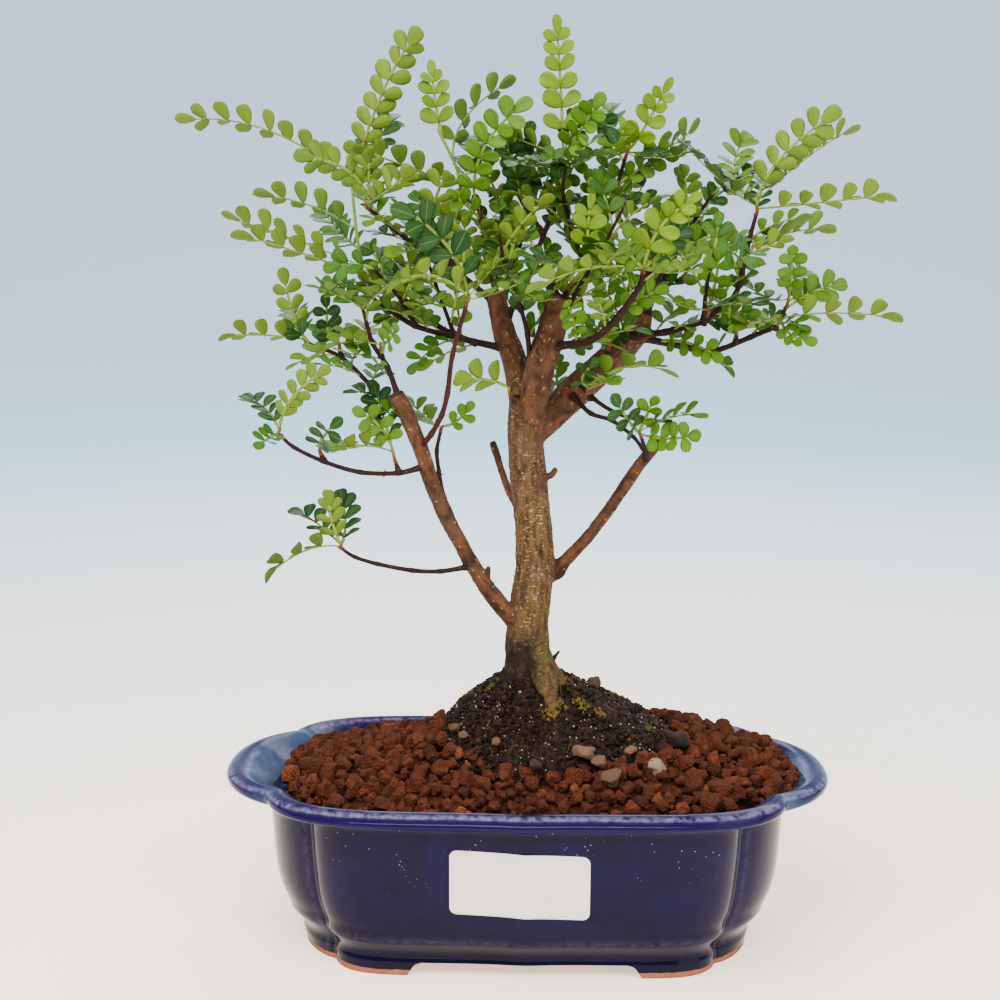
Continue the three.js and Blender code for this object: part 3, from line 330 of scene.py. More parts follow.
@dataclass(frozen=True)
class Soil:
    """Dark, damp potting soil with brown fibre and white specks."""

    name: str = "potting_soil"
    black: Colour = srgb(11, 7, 5)
    brown: Colour = srgb(50, 30, 21)
    fibre: Colour = srgb(58, 37, 26)
    white: Colour = srgb(172, 166, 160)

    def material(self) -> Material:
        """Return the soil's material; the mesh's shade runs from soil through brown crumb to white grit."""
        graph = NodeGraph(self.name)
        fine = graph.clouds(0.0016, 6.0)
        strands = graph.clouds(0.0022, 5.0, graph.place((2.4, 1.0, 1.0)), distortion=1.5)
        shade = graph.stored("shade")
        colour = graph.over(
            self.black, (fine.step(0.42, 0.66), self.brown), (strands.step(0.62, 0.72) * 0.6, self.fibre),
            (shade.step(0.2, 0.6), self.fibre), (shade.step(0.8, 0.95), self.white))
        damp = graph.clouds(0.003, 3.0).step(0.3, 0.7) * 0.35 + 0.5
        normal = graph.relief(fine, 0.0011, 1.0)
        return graph.finish(colour, damp, normal, 0.12)


@dataclass(frozen=True)
class Bark:
    """Bark by age: olive with rows of tan flecks on the trunk, red-brown boughs, dark maroon twigs."""

    name: str = "bark"
    trunk: Colour = srgb(94, 69, 40)
    trunk_dark: Colour = srgb(50, 35, 21)
    fleck: Colour = srgb(166, 138, 96)
    green: Colour = srgb(78, 74, 26)
    bough: Colour = srgb(96, 60, 38)
    bough_grey: Colour = srgb(76, 56, 36)
    bough_dark: Colour = srgb(50, 30, 20)
    dot: Colour = srgb(172, 126, 84)
    twig: Colour = srgb(32, 18, 14)
    twig_red: Colour = srgb(58, 24, 18)
    wound: Colour = srgb(40, 24, 18)
    stain: Colour = srgb(20, 12, 9)
    mossy: Colour = srgb(90, 73, 34)
    moss_top: float = 0.112
    stain_top: float = 0.106

    def material(self) -> Material:
        """Return the bark's material. The mesh stores its age, its cuts and a place along each limb."""
        graph = NodeGraph(self.name)
        parts = {axis: graph.stored(name) for axis, name in enumerate(("wrap_x", "wrap_y", "wrap_z"))}
        wrap = graph.scaled(graph.node("ShaderNodeCombineXYZ", inputs=parts), (MM, MM, MM))
        age = graph.stored("age")
        rows = graph.scaled(wrap, (1.0, 1.0, 0.6))
        lumps = graph.clouds(0.0035, 5.0, rows)
        fissures = graph.clouds(0.0014, 5.0, graph.scaled(wrap, (1.0, 1.0, 0.22)))
        flecks = graph.clouds(0.0011, 3.0, graph.scaled(wrap, (0.85, 0.85, 1.5)), distortion=0.3)
        patch = graph.clouds(0.0045, 5.0, graph.scaled(wrap, (1.0, 1.0, 0.3))).step(0.36, 0.62)
        fleck_mask = flecks.step(0.54, 0.64) * (patch * 0.8 + 0.2)
        height = graph.part(graph.place(), "Z")
        low = (height + graph.clouds(0.012, 3.0) * -0.02).step(self.moss_top, self.moss_top - 0.022)
        across = graph.part(graph.place(), "X") + graph.clouds(0.005, 4.0) * 0.008
        aside = across.step(float(SHIFT[0]) + 0.004, float(SHIFT[0]) + 0.01)
        wet = (height + graph.clouds(0.006, 4.0) * -0.012).step(self.stain_top - 0.004, self.stain_top - 0.014)
        mould = graph.clouds(0.0021, 5.0).step(0.48, 0.6)
        trunk = graph.over(
            self.trunk_dark, (fissures.step(0.35, 0.62), self.trunk),
            (graph.clouds(0.011, 3.0, rows).step(0.5, 0.72) * 0.55, self.bough), (fleck_mask * 0.82, self.fleck),
            (low * graph.clouds(0.004, 4.0).step(0.42, 0.62) * 0.6, self.green),
            (wet * (1.0 - aside * 0.55) * (lumps.step(0.3, 0.6) * 0.3 + 0.7), self.stain),
            (wet * aside * mould * 0.7, self.mossy))
        spots = graph.scaled(wrap, (1.0, 1.0, 0.75))
        dotted = graph.part(graph.cells(0.0016, spots, output="Color"), "Y").step(0.45, 0.55)
        dot_mask = graph.cells(0.0016, spots).step(0.28, 0.12) * dotted
        bough = graph.over(
            self.bough_dark, (lumps.step(0.35, 0.65), self.bough),
            (graph.clouds(0.009, 3.0).step(0.45, 0.7) * 0.7, self.bough_grey), (dot_mask * 0.66, self.dot))
        reddish = graph.clouds(0.003, 4.0, wrap).step(0.3, 0.7) * 0.5 + graph.stored("red") * 0.6
        twig = graph.over(self.twig, (reddish, self.twig_red), (dot_mask * 0.12, self.dot))
        colour = graph.over(twig, (age.step(0.05, 0.4), bough), (age.step(0.62, 0.92), trunk),
                            (graph.stored("wound"), self.wound))
        normal = graph.relief(fissures, 0.0006, 0.7, under=graph.relief(fleck_mask + dot_mask * 0.6, 0.0003, 0.8))
        matt = graph.clouds(0.002, 3.0, wrap) * 0.25 + 0.6
        return graph.finish(colour, matt, normal, 0.15)


class Tone(Enum):
    """The green of a leaf, from old and shaded to young and lit."""

    DARK = 0.05
    MID = 0.32
    LIGHT = 0.58
    PALE = 0.74
    LIME = 0.95


class Face(Enum):
    """Which way a compound leaf's upper face looks."""

    FRONT = (0, -1, 0.25)
    UNDER = (0, 1, 0.2)
    UP = (0, -0.3, 1)
    EDGE = (0, 0.64, 0.77)


DARK, MID, LIGHT, PALE, LIME = Tone
FRONT, UNDER, UP, EDGE = Face


@dataclass(frozen=True)
class Leaves:
    """A leaf's green: upper face, paler underside, veins, rib and stem."""

    name: str = "leaves"
    upper: tuple = ((0.0, srgb(14, 48, 12)), (0.3, srgb(42, 84, 8)), (0.55, srgb(76, 116, 8)),
                    (0.75, srgb(72, 100, 8)), (1.0, srgb(100, 128, 0)))
    under: tuple = ((0.0, srgb(54, 82, 26)), (0.3, srgb(78, 104, 24)), (0.55, srgb(100, 124, 24)),
                    (0.75, srgb(86, 108, 22)), (1.0, srgb(110, 134, 4)))
    rib: Colour = srgb(124, 150, 50)
    node: Colour = srgb(96, 42, 26)
    gloss: float = 0.36

    def material(self) -> Material:
        """Return the leaves' material; the mesh stores where each point lies on its leaflet."""
        graph = NodeGraph(self.name)
        # The stored tone runs along the green ramps: partly the leaf's age, partly painted shade and painted light.
        ripe = graph.stored("ripe")
        shade = graph.stored("shade")
        below = graph.stored("below")
        across = graph.stored("across").magnitude()
        along = graph.stored("along")
        mottle = graph.clouds(0.0012, 4.0).step(0.35, 0.7)
        upper = graph.ramp(ripe + shade * 0.12 - mottle * 0.06, self.upper)
        under = graph.ramp(ripe + shade * 0.1, self.under)
        side_veins = ((along - across * 0.45) * 44.0).wave().step(0.8, 1.0) * across.step(0.85, 0.3)
        midrib = across.step(0.075, 0.02)
        stalk = graph.mix(graph.stored("node"), graph.mix(0.45, self.rib, under), self.node)
        colour = graph.over(
            upper, (below, under), (side_veins * 0.1, self.rib), (midrib * 0.36, graph.mix(below, self.rib, upper)),
            (across.step(0.82, 0.98) * 0.6, graph.mix(0.5, upper, self.upper[0][1])), (graph.stored("stalk"), stalk))
        shine = below * 0.26 + mottle * 0.08 + ripe * 0.08 + self.gloss
        normal = graph.relief(side_veins + midrib, 0.00012, 0.6, under=graph.relief(mottle, 0.00006, 0.5))
        return graph.finish(colour, shine, normal, 0.2)


@dataclass(frozen=True)
class Speckled:
    """Finish of the small things on the soil: a shade for each point, mottled with another colour."""

    name: str
    shades: tuple
    mottle: Colour
    size: float
    detail: float
    reach: tuple[float, float]
    share: float
    specular: float

    def material(self) -> Material:
        """Return the material; the mesh's shade picks a colour of the shades."""
        graph = NodeGraph(self.name)
        colour = graph.ramp(graph.stored("shade"), self.shades)
        spots = graph.clouds(self.size, self.detail)
        colour = graph.mix(spots.step(*self.reach) * self.share, colour, self.mottle)
        return graph.finish(colour, 0.85, graph.relief(spots, 0.0004, 0.8), self.specular)


MOSS = Speckled("moss", (
    (0.0, srgb(56, 62, 16)), (0.45, srgb(86, 73, 24)), (0.8, srgb(120, 84, 48)), (1.0, srgb(44, 27, 19))),
    mottle=srgb(56, 62, 16), size=0.0009, detail=5.0, reach=(0.5, 0.3), share=0.6, specular=0.12)
PEBBLES = Speckled("pebbles", (
    (0.0, srgb(20, 17, 17)), (0.3, srgb(66, 48, 36)), (0.55, srgb(92, 64, 46)), (1.0, srgb(128, 108, 88))),
    mottle=srgb(56, 44, 38), size=0.001, detail=6.0, reach=(0.5, 0.7), share=0.5, specular=0.2)


@dataclass(frozen=True)
class Paper:
    """The sticker's smooth, faintly fibrous white paper."""

    name: str = "label_paper"

    def material(self) -> Material:
        """Return the paper's material."""
        graph = NodeGraph(self.name)
        fibre = graph.clouds(0.0006, 5.0, graph.place((0.4, 1.0, 1.0)))
        worn = graph.clouds(0.009, 4.0).step(0.45, 0.8)
        colour = graph.over(srgb(226, 219, 223), (fibre.step(0.35, 0.7), srgb(238, 231, 234)),
                            (worn * 0.35, srgb(218, 206, 206)))
        normal = graph.relief(fibre, 0.00002, 0.6, under=graph.relief(worn, 0.00012, 0.4))
        return graph.finish(colour, fibre * 0.12 + 0.36, normal)


@dataclass(frozen=True)
class DrainPlastic:
    """Moulded dark plastic of the drain meshes."""

    name: str = "drain_plastic"

    def material(self) -> Material:
        """Return the plastic's material."""
        graph = NodeGraph(self.name)
        grain = graph.clouds(0.0008, 4.0)
        colour = graph.mix(grain.step(0.4, 0.7), srgb(34, 34, 36), srgb(48, 48, 50))
        return graph.finish(colour, grain * 0.2 + 0.5, graph.relief(grain, 0.00008, 0.5))


@dataclass(frozen=True)
class StudioFloor:
    """Warm white floor that turns a pale grey-blue away from the object."""

    name: str = "studio_floor"
    near: Colour = srgb(255, 240, 224)
    middle: Colour = srgb(188, 227, 250)
    far: Colour = srgb(176, 192, 216)
    glow: float = 0.92

    def material(self) -> Material:
        """Return the floor's material."""
        graph = NodeGraph(self.name)
        point = graph.place()
        out = graph.node("ShaderNodeVectorMath", {"operation": "LENGTH"}, {0: graph.scaled(point, (1.0, 1.0, 0.0))},
                         output="Value")
        reach = (out + graph.part(point, "Z") * 2.0) * 0.28
        colour = graph.ramp(reach, [(0.04, self.near), (0.11, srgb(240, 238, 232)), (0.34, self.middle),
                                    (0.55, srgb(196, 214, 228)), (0.85, self.far)])
        return graph.finish(colour, 0.7, None, 0.2, self.glow)


# Meshes

def place(point: Sequence[float]) -> np.ndarray:
    """Return a table's point, in millimetres from the pot's middle, as metres in the frame."""
    return np.asarray(point, float) * MM + SHIFT


def unit(vector: np.ndarray) -> np.ndarray:
    """Return the vector at length 1."""
    return vector / max(float(np.linalg.norm(vector)), 1e-9)


def spin(sides: int) -> np.ndarray:
    """Return the angles of the corners of a ring with this many sides."""
    return np.linspace(0, math.tau, sides, endpoint=False)


def hoop(centre: np.ndarray, first: np.ndarray, second: np.ndarray, turns: np.ndarray, radius: float = 1.0
         ) -> np.ndarray:
    """Return a ring of points round the centre, in the plane of two directions."""
    return centre + radius * (np.cos(turns)[:, None] * first + np.sin(turns)[:, None] * second)


def lengths_along(points: np.ndarray) -> np.ndarray:
    """Return how far along their line each of the points is."""
    return np.concatenate([[0], np.cumsum(np.linalg.norm(np.diff(points, axis=0), axis=1))])


def point_at(points: np.ndarray, lengths: np.ndarray, reach: float) -> np.ndarray:
    """Return the point that lies this far along a line."""
    return np.array([np.interp(reach, lengths, part) for part in points.T])


class Shape:
    """Points and faces, in millimetres, with the values that the shaders read at each point."""

    def __init__(self, *names: str) -> None:
        """Start an empty shape that stores a value under each name."""
        self.points: list[np.ndarray] = []
        self.faces: list[Sequence[int]] = []
        self.values: dict[str, list[np.ndarray]] = {name: [] for name in names}
        self.count = 0

    def add(self, points: np.ndarray, faces: Iterable[Sequence[int]], **values: Amount) -> None:
        """Add points and faces.

        Args:
            points: An N by 3 array of places.
            faces: Faces, whose numbers count from the first of these points.
            values: For each stored name a number, or one for each point; 0 where it isn't given.
        """
        self.points.append(points)
        self.faces.extend([[corner + self.count for corner in face] for face in faces])
        for name, parts in self.values.items():
            parts.append(np.broadcast_to(np.asarray(values.get(name, 0.0), float), (len(points),)))
        self.count += len(points)

    def add_rings(self, rings: Sequence[np.ndarray], **values: Amount) -> None:
        """Add a tube through rings of equally many points, with its two ends filled.

        Args:
            rings: The rings, each an N by 3 array, in order along the tube.
            values: As for add, counted ring by ring.
        """
        size, last = len(rings[0]), (len(rings) - 1) * len(rings[0])
        faces = [(low + corner, low + (corner + 1) % size, low + size + (corner + 1) % size, low + size + corner)
                 for low in range(0, last, size) for corner in range(size)]
        faces += [tuple(range(size))[::-1], tuple(range(last, last + size))]
        self.add(np.concatenate(rings), faces, **values)

    def mesh(self, name: str) -> Mesh:
        """Return the shape as a mesh, in metres in the frame."""
        mesh = bpy.data.meshes.new(name)
        points = np.concatenate(self.points) * MM + SHIFT
        mesh.from_pydata(points.tolist(), [], self.faces)
        mesh.update()
        for key, parts in self.values.items():
            mesh.attributes.new(key, "FLOAT", "POINT").data.foreach_set("value", np.concatenate(parts))
        return mesh

    def piece(self, name: str, material: Material, sharp: float = 180.0) -> Piece:
        """Return the shape as an object.

        Args:
            name: The piece's name.
            material: Its finish.
            sharp: The angle, in degrees, above which an edge isn't shaded smooth.

        Returns:
            The new object, at the origin.
        """
        return make_piece(name, self.mesh(name), material, sharp)


def in_scene(name: str, data: bpy.types.ID) -> Piece:
    """Return a new object in the scene with this mesh, light or camera."""
    made = bpy.data.objects.new(name, data)
    bpy.context.scene.collection.objects.link(made)
    return made


def make_piece(name: str, mesh: Mesh, material: Material, sharp: float = 180.0) -> Piece:
    """Return an object of the mesh, shaded smooth below the sharp angle, with the material."""
    mesh.materials.clear()
    mesh.materials.append(material)
    mesh.polygons.foreach_set("use_smooth", [True] * len(mesh.polygons))
    if sharp < 180:
        mesh.set_sharp_from_angle(angle=math.radians(sharp))
    return in_scene(name, mesh)


def apply_modifiers(piece: Piece) -> None:
    """Turn the piece's modifiers into its mesh."""
    graph = bpy.context.evaluated_depsgraph_get()
    mesh = bpy.data.meshes.new_from_object(piece.evaluated_get(graph))
    piece.modifiers.clear()
    piece.data = mesh


def settle(piece: Piece, slot: str, *nodes: str) -> Piece:
    """Let the piece ride on the body and stand for the nodes, whose solids are hidden."""
    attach(piece, BODY)
    if nodes:
        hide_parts(*nodes)
    LOG.info("%s: %d faces", piece.name, len(piece.data.polygons))
    return piece


def read(items: bpy.types.bpy_prop_collection, name: str) -> np.ndarray:
    """Return a vector property of a mesh's points or faces, a row for each."""
    flat = np.empty(len(items) * 3)
    items.foreach_get(name, flat)
    return flat.reshape(-1, 3)


def positions(mesh: Mesh) -> np.ndarray:
    """Return the mesh's points in millimetres from the pot's middle."""
    return (read(mesh.vertices, "co") - SHIFT) / MM


def store(mesh: Mesh, name: str, values: np.ndarray, domain: str = "POINT") -> None:
    """Store a value for each point or face of the mesh."""
    mesh.attributes.new(name, "FLOAT", domain).data.foreach_set("value", np.asarray(values, float))


def hill(distance: Amount, width: float) -> Amount:
    """Return 1 at distance 0, falling smoothly to near 0 beyond the width."""
    return np.exp(-(np.asarray(distance) / width) ** 2)


def smooth(share: Amount) -> Amount:
    """Return the share held between 0 and 1, with its corners eased."""
    held = np.clip(share, 0.0, 1.0)
    return held * held * (3 - 2 * held)


def rough(points: np.ndarray, size: float, seed: int, octaves: int) -> np.ndarray:
    """Return noise, about -1 to 1, at each point, with features of the given size in millimetres."""
    offset = Vector((seed * 13.7, seed * 7.1, seed * 3.3))
    return np.array([noise.fractal(Vector(point) / size + offset, 1.0, 2.0, octaves) for point in points])


# The pot

@dataclass(frozen=True)
class PotForm:
    """The pot's wall: a lobed outline that changes with height."""

    # Height, half length at the end lobes, place of the corner groove in x and y, half width,
    # and how square the long sides' ends are
    levels: tuple = (
        (0, 75.5, 62.4, 32.5, 46.2, 9), (9.5, 77.8, 63, 33, 47.2, 8), (15, 81.8, 65, 34, 49.8, 6),
        (22, 84.6, 67.2, 35, 52, 5), (46, 86.8, 69.4, 36, 54.4, 4.5), (51.8, 88.8, 71, 36.4, 55.4, 4.5),
        (54.2, 99.2, 82, 36, 59.2, 6), (56.2, 102, 84.4, 36.2, 60, 6), (59, 100.2, 83.2, 35.8, 58.6, 6))
    inner_levels: tuple = (
        (10, 68, 54, 26, 38.6, 5), (22, 76, 60, 30, 45.5, 4.5), (46, 80.5, 64.5, 31.5, 49, 4.5),
        (58.4, 95, 79, 33.4, 55.8, 6))
    ridge: float = 1.8
    ridge_reach: float = 7.0
    # Height and half length along the finer outer profile, from the foot to the lip's crest
    outer: tuple = (
        (0, 74.9), (0.3, 75.3), (1, 75.5), (2.5, 75.8), (4.2, 76.2), (4.8, 76.3), (5.4, 76.1), (6.2, 76), (7.2, 76.3),
        (8.3, 76.9), (9.4, 77.8), (10.4, 78.8), (11.2, 79.7), (12, 80.5), (12.9, 81.1), (14, 81.5), (15.4, 82),
        (17, 82.8), (19, 83.6), (21, 84.3), (25, 85.2), (30, 85.8), (35, 86.2), (40, 86.6), (45, 86.8), (48, 87.1),
        (50, 87.6), (51.3, 88.4), (52.2, 90), (52.9, 93.5), (53.4, 97.2), (53.8, 99.4), (54.3, 100.7), (54.9, 101.4),
        (55.6, 101.8), (56.3, 101.9), (57, 101.7), (57.6, 101.2), (58.1, 100.5), (58.5, 99.6), (58.8, 98.6),
        (58.95, 97.8), (59, 97))
    inner: tuple = (
        (10, 68), (14, 71.2), (22, 76), (34, 78.3), (42, 79.8), (46, 81), (48.5, 83.2), (51, 86.2), (53.5, 89.2),
        (55.5, 91.6), (57, 93.4), (57.9, 94.6), (58.5, 95.6), (58.85, 96.5), (58.97, 97.2), (60.2, 99.5), (64, 104))
    side_steps: int = 34
    lobe_steps: int = 40

    def numbers(self, levels: tuple, height: float, half_length: float) -> np.ndarray:
        """Return the outline's numbers at a height, moved out to the finer profile's half length."""
        table = np.array(levels, float)
        plain = np.array([np.interp(height, table[:, 0], table[:, column]) for column in range(1, 6)])
        extra = half_length - plain[0]
        return plain + extra * np.array([1.0, 0.7, 0.55, 1.0, 0.0])

    def front(self, x: Amount, numbers: np.ndarray) -> np.ndarray:
        """Return how far out the front or back wall stands at x."""
        _, groove_x, groove_y, side, square = numbers
        share = np.clip(np.abs(x) / groove_x, 0, 1)
        panel = (side - groove_y) * (1 - share ** square) ** (1 / 1.6)
        return groove_y + panel + self.ridge * np.exp(-np.abs(x) / self.ridge_reach)

    def ring(self, height: float, numbers: np.ndarray, inset: float) -> np.ndarray:
        """Return the outline at a height as points, anticlockwise seen from above."""
        end, groove_x, groove_y = numbers[:3]
        turns = np.sin(np.linspace(0, math.pi / 2, self.side_steps + 1))[:-1]
        quarter_x = turns * groove_x
        quarter_y = self.front(quarter_x, numbers)
        lobe = np.sin(np.linspace(-math.pi / 2, math.pi / 2, self.lobe_steps + 1))
        lobe_x = groove_x + (end - groove_x) * np.clip(1 - np.abs(lobe) ** 2.4, 0, 1) ** 0.7
        lobe_y = groove_y * lobe
        right = [*zip(quarter_x, -quarter_y), *zip(lobe_x, lobe_y), *zip(quarter_x[:0:-1], quarter_y[:0:-1])]
        left = [(-x, -y) for x, y in right]
        outline = np.array(right + left)
        for _ in range(3):
            outline = (np.roll(outline, 1, 0) + 2 * outline + np.roll(outline, -1, 0)) / 4
        if inset:
            tangent = np.roll(outline, -1, 0) - np.roll(outline, 1, 0)
            inward = np.stack([-tangent[:, 1], tangent[:, 0]], 1)
            outline = outline + inward / np.linalg.norm(inward, axis=1)[:, None] * inset
        return np.column_stack([outline, np.full(len(outline), height)])

    def loft(self, profile: Sequence[tuple[float, float]], levels: tuple, inset: float = 0.0) -> Shape:
        """Return a closed body through the outlines along a profile."""
        shape = Shape()
        shape.add_rings([self.ring(z, self.numbers(levels, z, half), inset) for z, half in profile])
        return shape

    def outside(self, height: float) -> np.ndarray:
        """Return the outline's numbers at a height of the finer outer profile."""
        heights, halves = np.array(self.outer).T
        return self.numbers(self.levels, height, np.interp(height, heights, halves))

    def wall_out(self, x: np.ndarray, height: np.ndarray) -> np.ndarray:
        """Return how far out the finer front wall stands at each x and height."""
        return np.array([float(self.front(across, self.outside(z))) for across, z in zip(x, height)])


@dataclass
class Pot:
    """The glazed pot: rolled lip, stepped foot with four arches, recess and two drain holes."""

    form: PotForm = PotForm()
    recess_top: float = 4.0
    ring_width: float = 9.0
    arch_half_long: float = 35.0
    arch_half_end: float = 13.0
    arch_height: float = 4.6
    arch_splay: float = 3.0
    arch_reach: float = 140.0
    drain_x: float = 34.0
    drain_radius: float = 6.5
    drain_ends: tuple = (0, 20)
    drain_sides: int = 48
    glaze: Glaze = Glaze()

    def arch(self, half_width: float, along_x: bool) -> Shape:
        """Return the bar that cuts an arch through the foot on both sides."""
        foot, top = half_width + self.arch_splay, half_width
        section = [(-foot, -3), (-foot, 0), (-foot + 0.7, 1.3), (-top - 0.9, 3.4), (-top, 4.1),
                   (-top + 1.6, self.arch_height)]
        section += [(-u, z) for u, z in reversed(section)]
        ends = [np.array([(u, way, z) if along_x else (way, u, z) for u, z in section], float)
                for way in (-self.arch_reach, self.arch_reach)]
        shape = Shape()
        shape.add_rings(ends[::-1] if along_x else ends)
        return shape

    def drain(self, x: float) -> Shape:
        """Return the upright round bar that cuts the drain hole at x."""
        across, deep = np.eye(3)[:2]
        shape = Shape()
        shape.add_rings([hoop(np.array([x, 0, z]), across, deep, spin(self.drain_sides), self.drain_radius)
                         for z in self.drain_ends])
        return shape

    def cut(self, body: Piece, tool: Shape) -> None:
        """Cut the tool's shape out of the body."""
        mesh = tool.mesh("cutter")
        closed = bmesh.new()
        closed.from_mesh(mesh)
        bmesh.ops.recalc_face_normals(closed, faces=closed.faces)
        closed.to_mesh(mesh)
        closed.free()
        cutter = in_scene("cutter", mesh)
        modifier = body.modifiers.new("cut", "BOOLEAN")
        modifier.operation, modifier.solver, modifier.object = "DIFFERENCE", "EXACT", cutter
        apply_modifiers(body)
        bpy.data.objects.remove(cutter)

    def dress(self, mesh: Mesh) -> None:
        """Store where the glaze is thin and highlights are painted, where the dished lip takes its painted reflection
        and where the clay is bare.
        """
        points = positions(mesh)
        x, y, z = np.abs(points[:, 0]), np.abs(points[:, 1]), points[:, 2]
        numbers = np.array([self.form.outside(height) for height in z])
        inside = np.clip(1 - ((x / numbers[:, 0]) ** 2.6 + (y / (numbers[:, 3] + 1)) ** 2.6), 0, 1)
        # Thin glaze with painted highlight lines: along the lip's crest, faintly on the crease above the foot and
        # beside the grooves.
        top = hill(z - 57.8, 0.55) * (inside < 0.16)
        edges = top * 0.8 + hill(z - 12.9, 1.0) * 0.1
        groove = np.hypot(x - numbers[:, 1], y - numbers[:, 2])
        edges = edges + hill(groove - 3.2, 1.1) * 0.12 * (z < 51)
        store(mesh, "thin", np.clip(edges, 0, 1))
        # A painted reflection on the dished lip, strongest toward the ends.
        dish = smooth((z - 46) / 4) * smooth((inside - 0.04) / 0.09) * smooth((x - 58) / 30)
        store(mesh, "dish", dish)
        centres = (read(mesh.polygons, "center") - SHIFT) / MM
        down = (read(mesh.polygons, "normal")[:, 2] < -0.5) & (centres[:, 2] < self.arch_height + 0.1)
        under = (np.abs(centres[:, 0]) / 69) ** 3 + (np.abs(centres[:, 1]) / 40) ** 3 < 1
        store(mesh, "bare", down | under & (centres[:, 2] < 9.9), "FACE")

    def build(self) -> Piece:
        """Build the pot and return it."""
        material = self.glaze.material()
        form = self.form
        body = form.loft(form.outer, form.levels).piece("pot_glazed", material)
        self.cut(body, form.loft(form.inner, form.inner_levels))
        foot = np.array([(-3.0, 74.9), (0.0, 74.9), (self.recess_top, 76.4)])
        self.cut(body, form.loft(foot, form.levels, self.ring_width))
        for half_width, along_x in ((self.arch_half_long, True), (self.arch_half_end, False)):
            self.cut(body, self.arch(half_width, along_x))
        for x in (-self.drain_x, self.drain_x):
            self.cut(body, self.drain(x))
        mesh = body.data
        bpy.data.objects.remove(body)
        self.dress(mesh)
        return settle(make_piece("pot_glazed", mesh, material, 50), "blue_glaze", "pot")


@dataclass
class DrainMeshes:
    """The two drain meshes, which keep the solids' own form."""

    nodes: tuple = ("drain_mesh_left", "drain_mesh_right")

    def build(self) -> None:
        """Give both meshes their plastic."""
        material = DrainPlastic().material()
        for name in self.nodes:
            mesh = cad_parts[name].data
            mesh.materials.clear()
            mesh.materials.append(material)
            LOG.info("%s: dressed as it stands", name)


@dataclass
class Label:
    """The blank sticker, which follows the front wall."""

    form: PotForm = PotForm()
    left: float = -24.0
    right: float = 20.6
    low: float = 22.9
    high: float = 44.7
    tilt: float = 0.04
    corner: float = 2.4
    thickness: float = 0.22
    lift: float = 0.12
    curl: float = 0.35

    def outline(self) -> np.ndarray:
        """Return the sticker's rounded outline in x and z, anticlockwise seen from the front."""
        left, right = self.left + self.corner, self.right - self.corner
        low, high = self.low + self.corner, self.high - self.corner
        starts = ((right, low, -90), (right, high, 0), (left, high, 90), (left, low, 180))
        corners = np.array([(x + self.corner * math.cos(turn), z + self.corner * math.sin(turn))
                            for x, z, start in starts for turn in np.radians(np.linspace(start, start + 90, 7))])
        result = []
        for first, second in zip(corners, np.roll(corners, -1, 0)):
            steps = max(1, round(float(np.linalg.norm(second - first)) / 1.5))
            result += [first + (second - first) * step / steps for step in range(steps)]
        return np.array(result)

    def build(self) -> Piece:
        """Build the sticker and return it."""
        outline = self.outline()
        middle = np.array([(self.left + self.right) / 2, (self.low + self.high) / 2])
        rings = []
        for share in (1.0, 0.985, 0.9, 0.75, 0.6, 0.45, 0.3, 0.15, 0.03):
            flat = middle + (outline - middle) * share
            flat[:, 1] -= self.tilt * (flat[:, 0] - middle[0])
            out = self.form.wall_out(flat[:, 0], flat[:, 1])
            curl = self.curl * hill(np.hypot(flat[:, 0] - self.right, flat[:, 1] - self.high), 3.0)
            level = self.lift + (self.thickness if share < 1 else self.thickness * 0.6) + curl
            rings.append(np.column_stack([flat[:, 0], -out - level, flat[:, 1]]))
        back = rings[0] + [0, self.thickness * 0.6, 0]
        inner = rings[1] + [0, self.thickness, 0]
        shape = Shape()
        shape.add_rings([inner, back, *rings])
        return settle(shape.piece("label_blank", Paper().material(), 50), "label_paper", "label")


@dataclass
class Stones:
    """A library of angular grains, cut from balls by random planes."""

    seed: int
    variants: int = 14
    planes: int = 9
    detail: int = 2

    def library(self) -> list[tuple[np.ndarray, list]]:
        """Return the points and faces of each grain, about 1 across."""
        chance = random.Random(self.seed)
        result = []
        for number in range(self.variants):
            source = bpy.data.meshes.new("ball")
            ball = bmesh.new()
            bmesh.ops.create_icosphere(ball, subdivisions=self.detail, radius=0.5)
            ball.to_mesh(source)
            ball.free()
            points = np.array([vertex.co for vertex in source.vertices])
            faces = [tuple(face.vertices) for face in source.polygons]
            bpy.data.meshes.remove(source)
            points *= [chance.uniform(0.85, 1.1), chance.uniform(0.75, 1.0), chance.uniform(0.6, 0.85)]
            for _ in range(self.planes):
                normal = unit(np.array([chance.gauss(0, 1) for _ in range(3)]))
                reach = chance.uniform(0.24, 0.36)
                points -= np.clip(points @ normal - reach, 0, None)[:, None] * normal * 0.93
            points += (rough(points, 0.3, number + self.seed, 3) * 0.11)[:, None] * points / 0.4
            result.append((points, faces))
        return result


def turned(points: np.ndarray, chance: random.Random) -> np.ndarray:
    """Return the points turned at random."""
    turn = Euler([chance.uniform(0, math.tau) for _ in range(3)]).to_matrix()
    return points @ np.array(turn).T


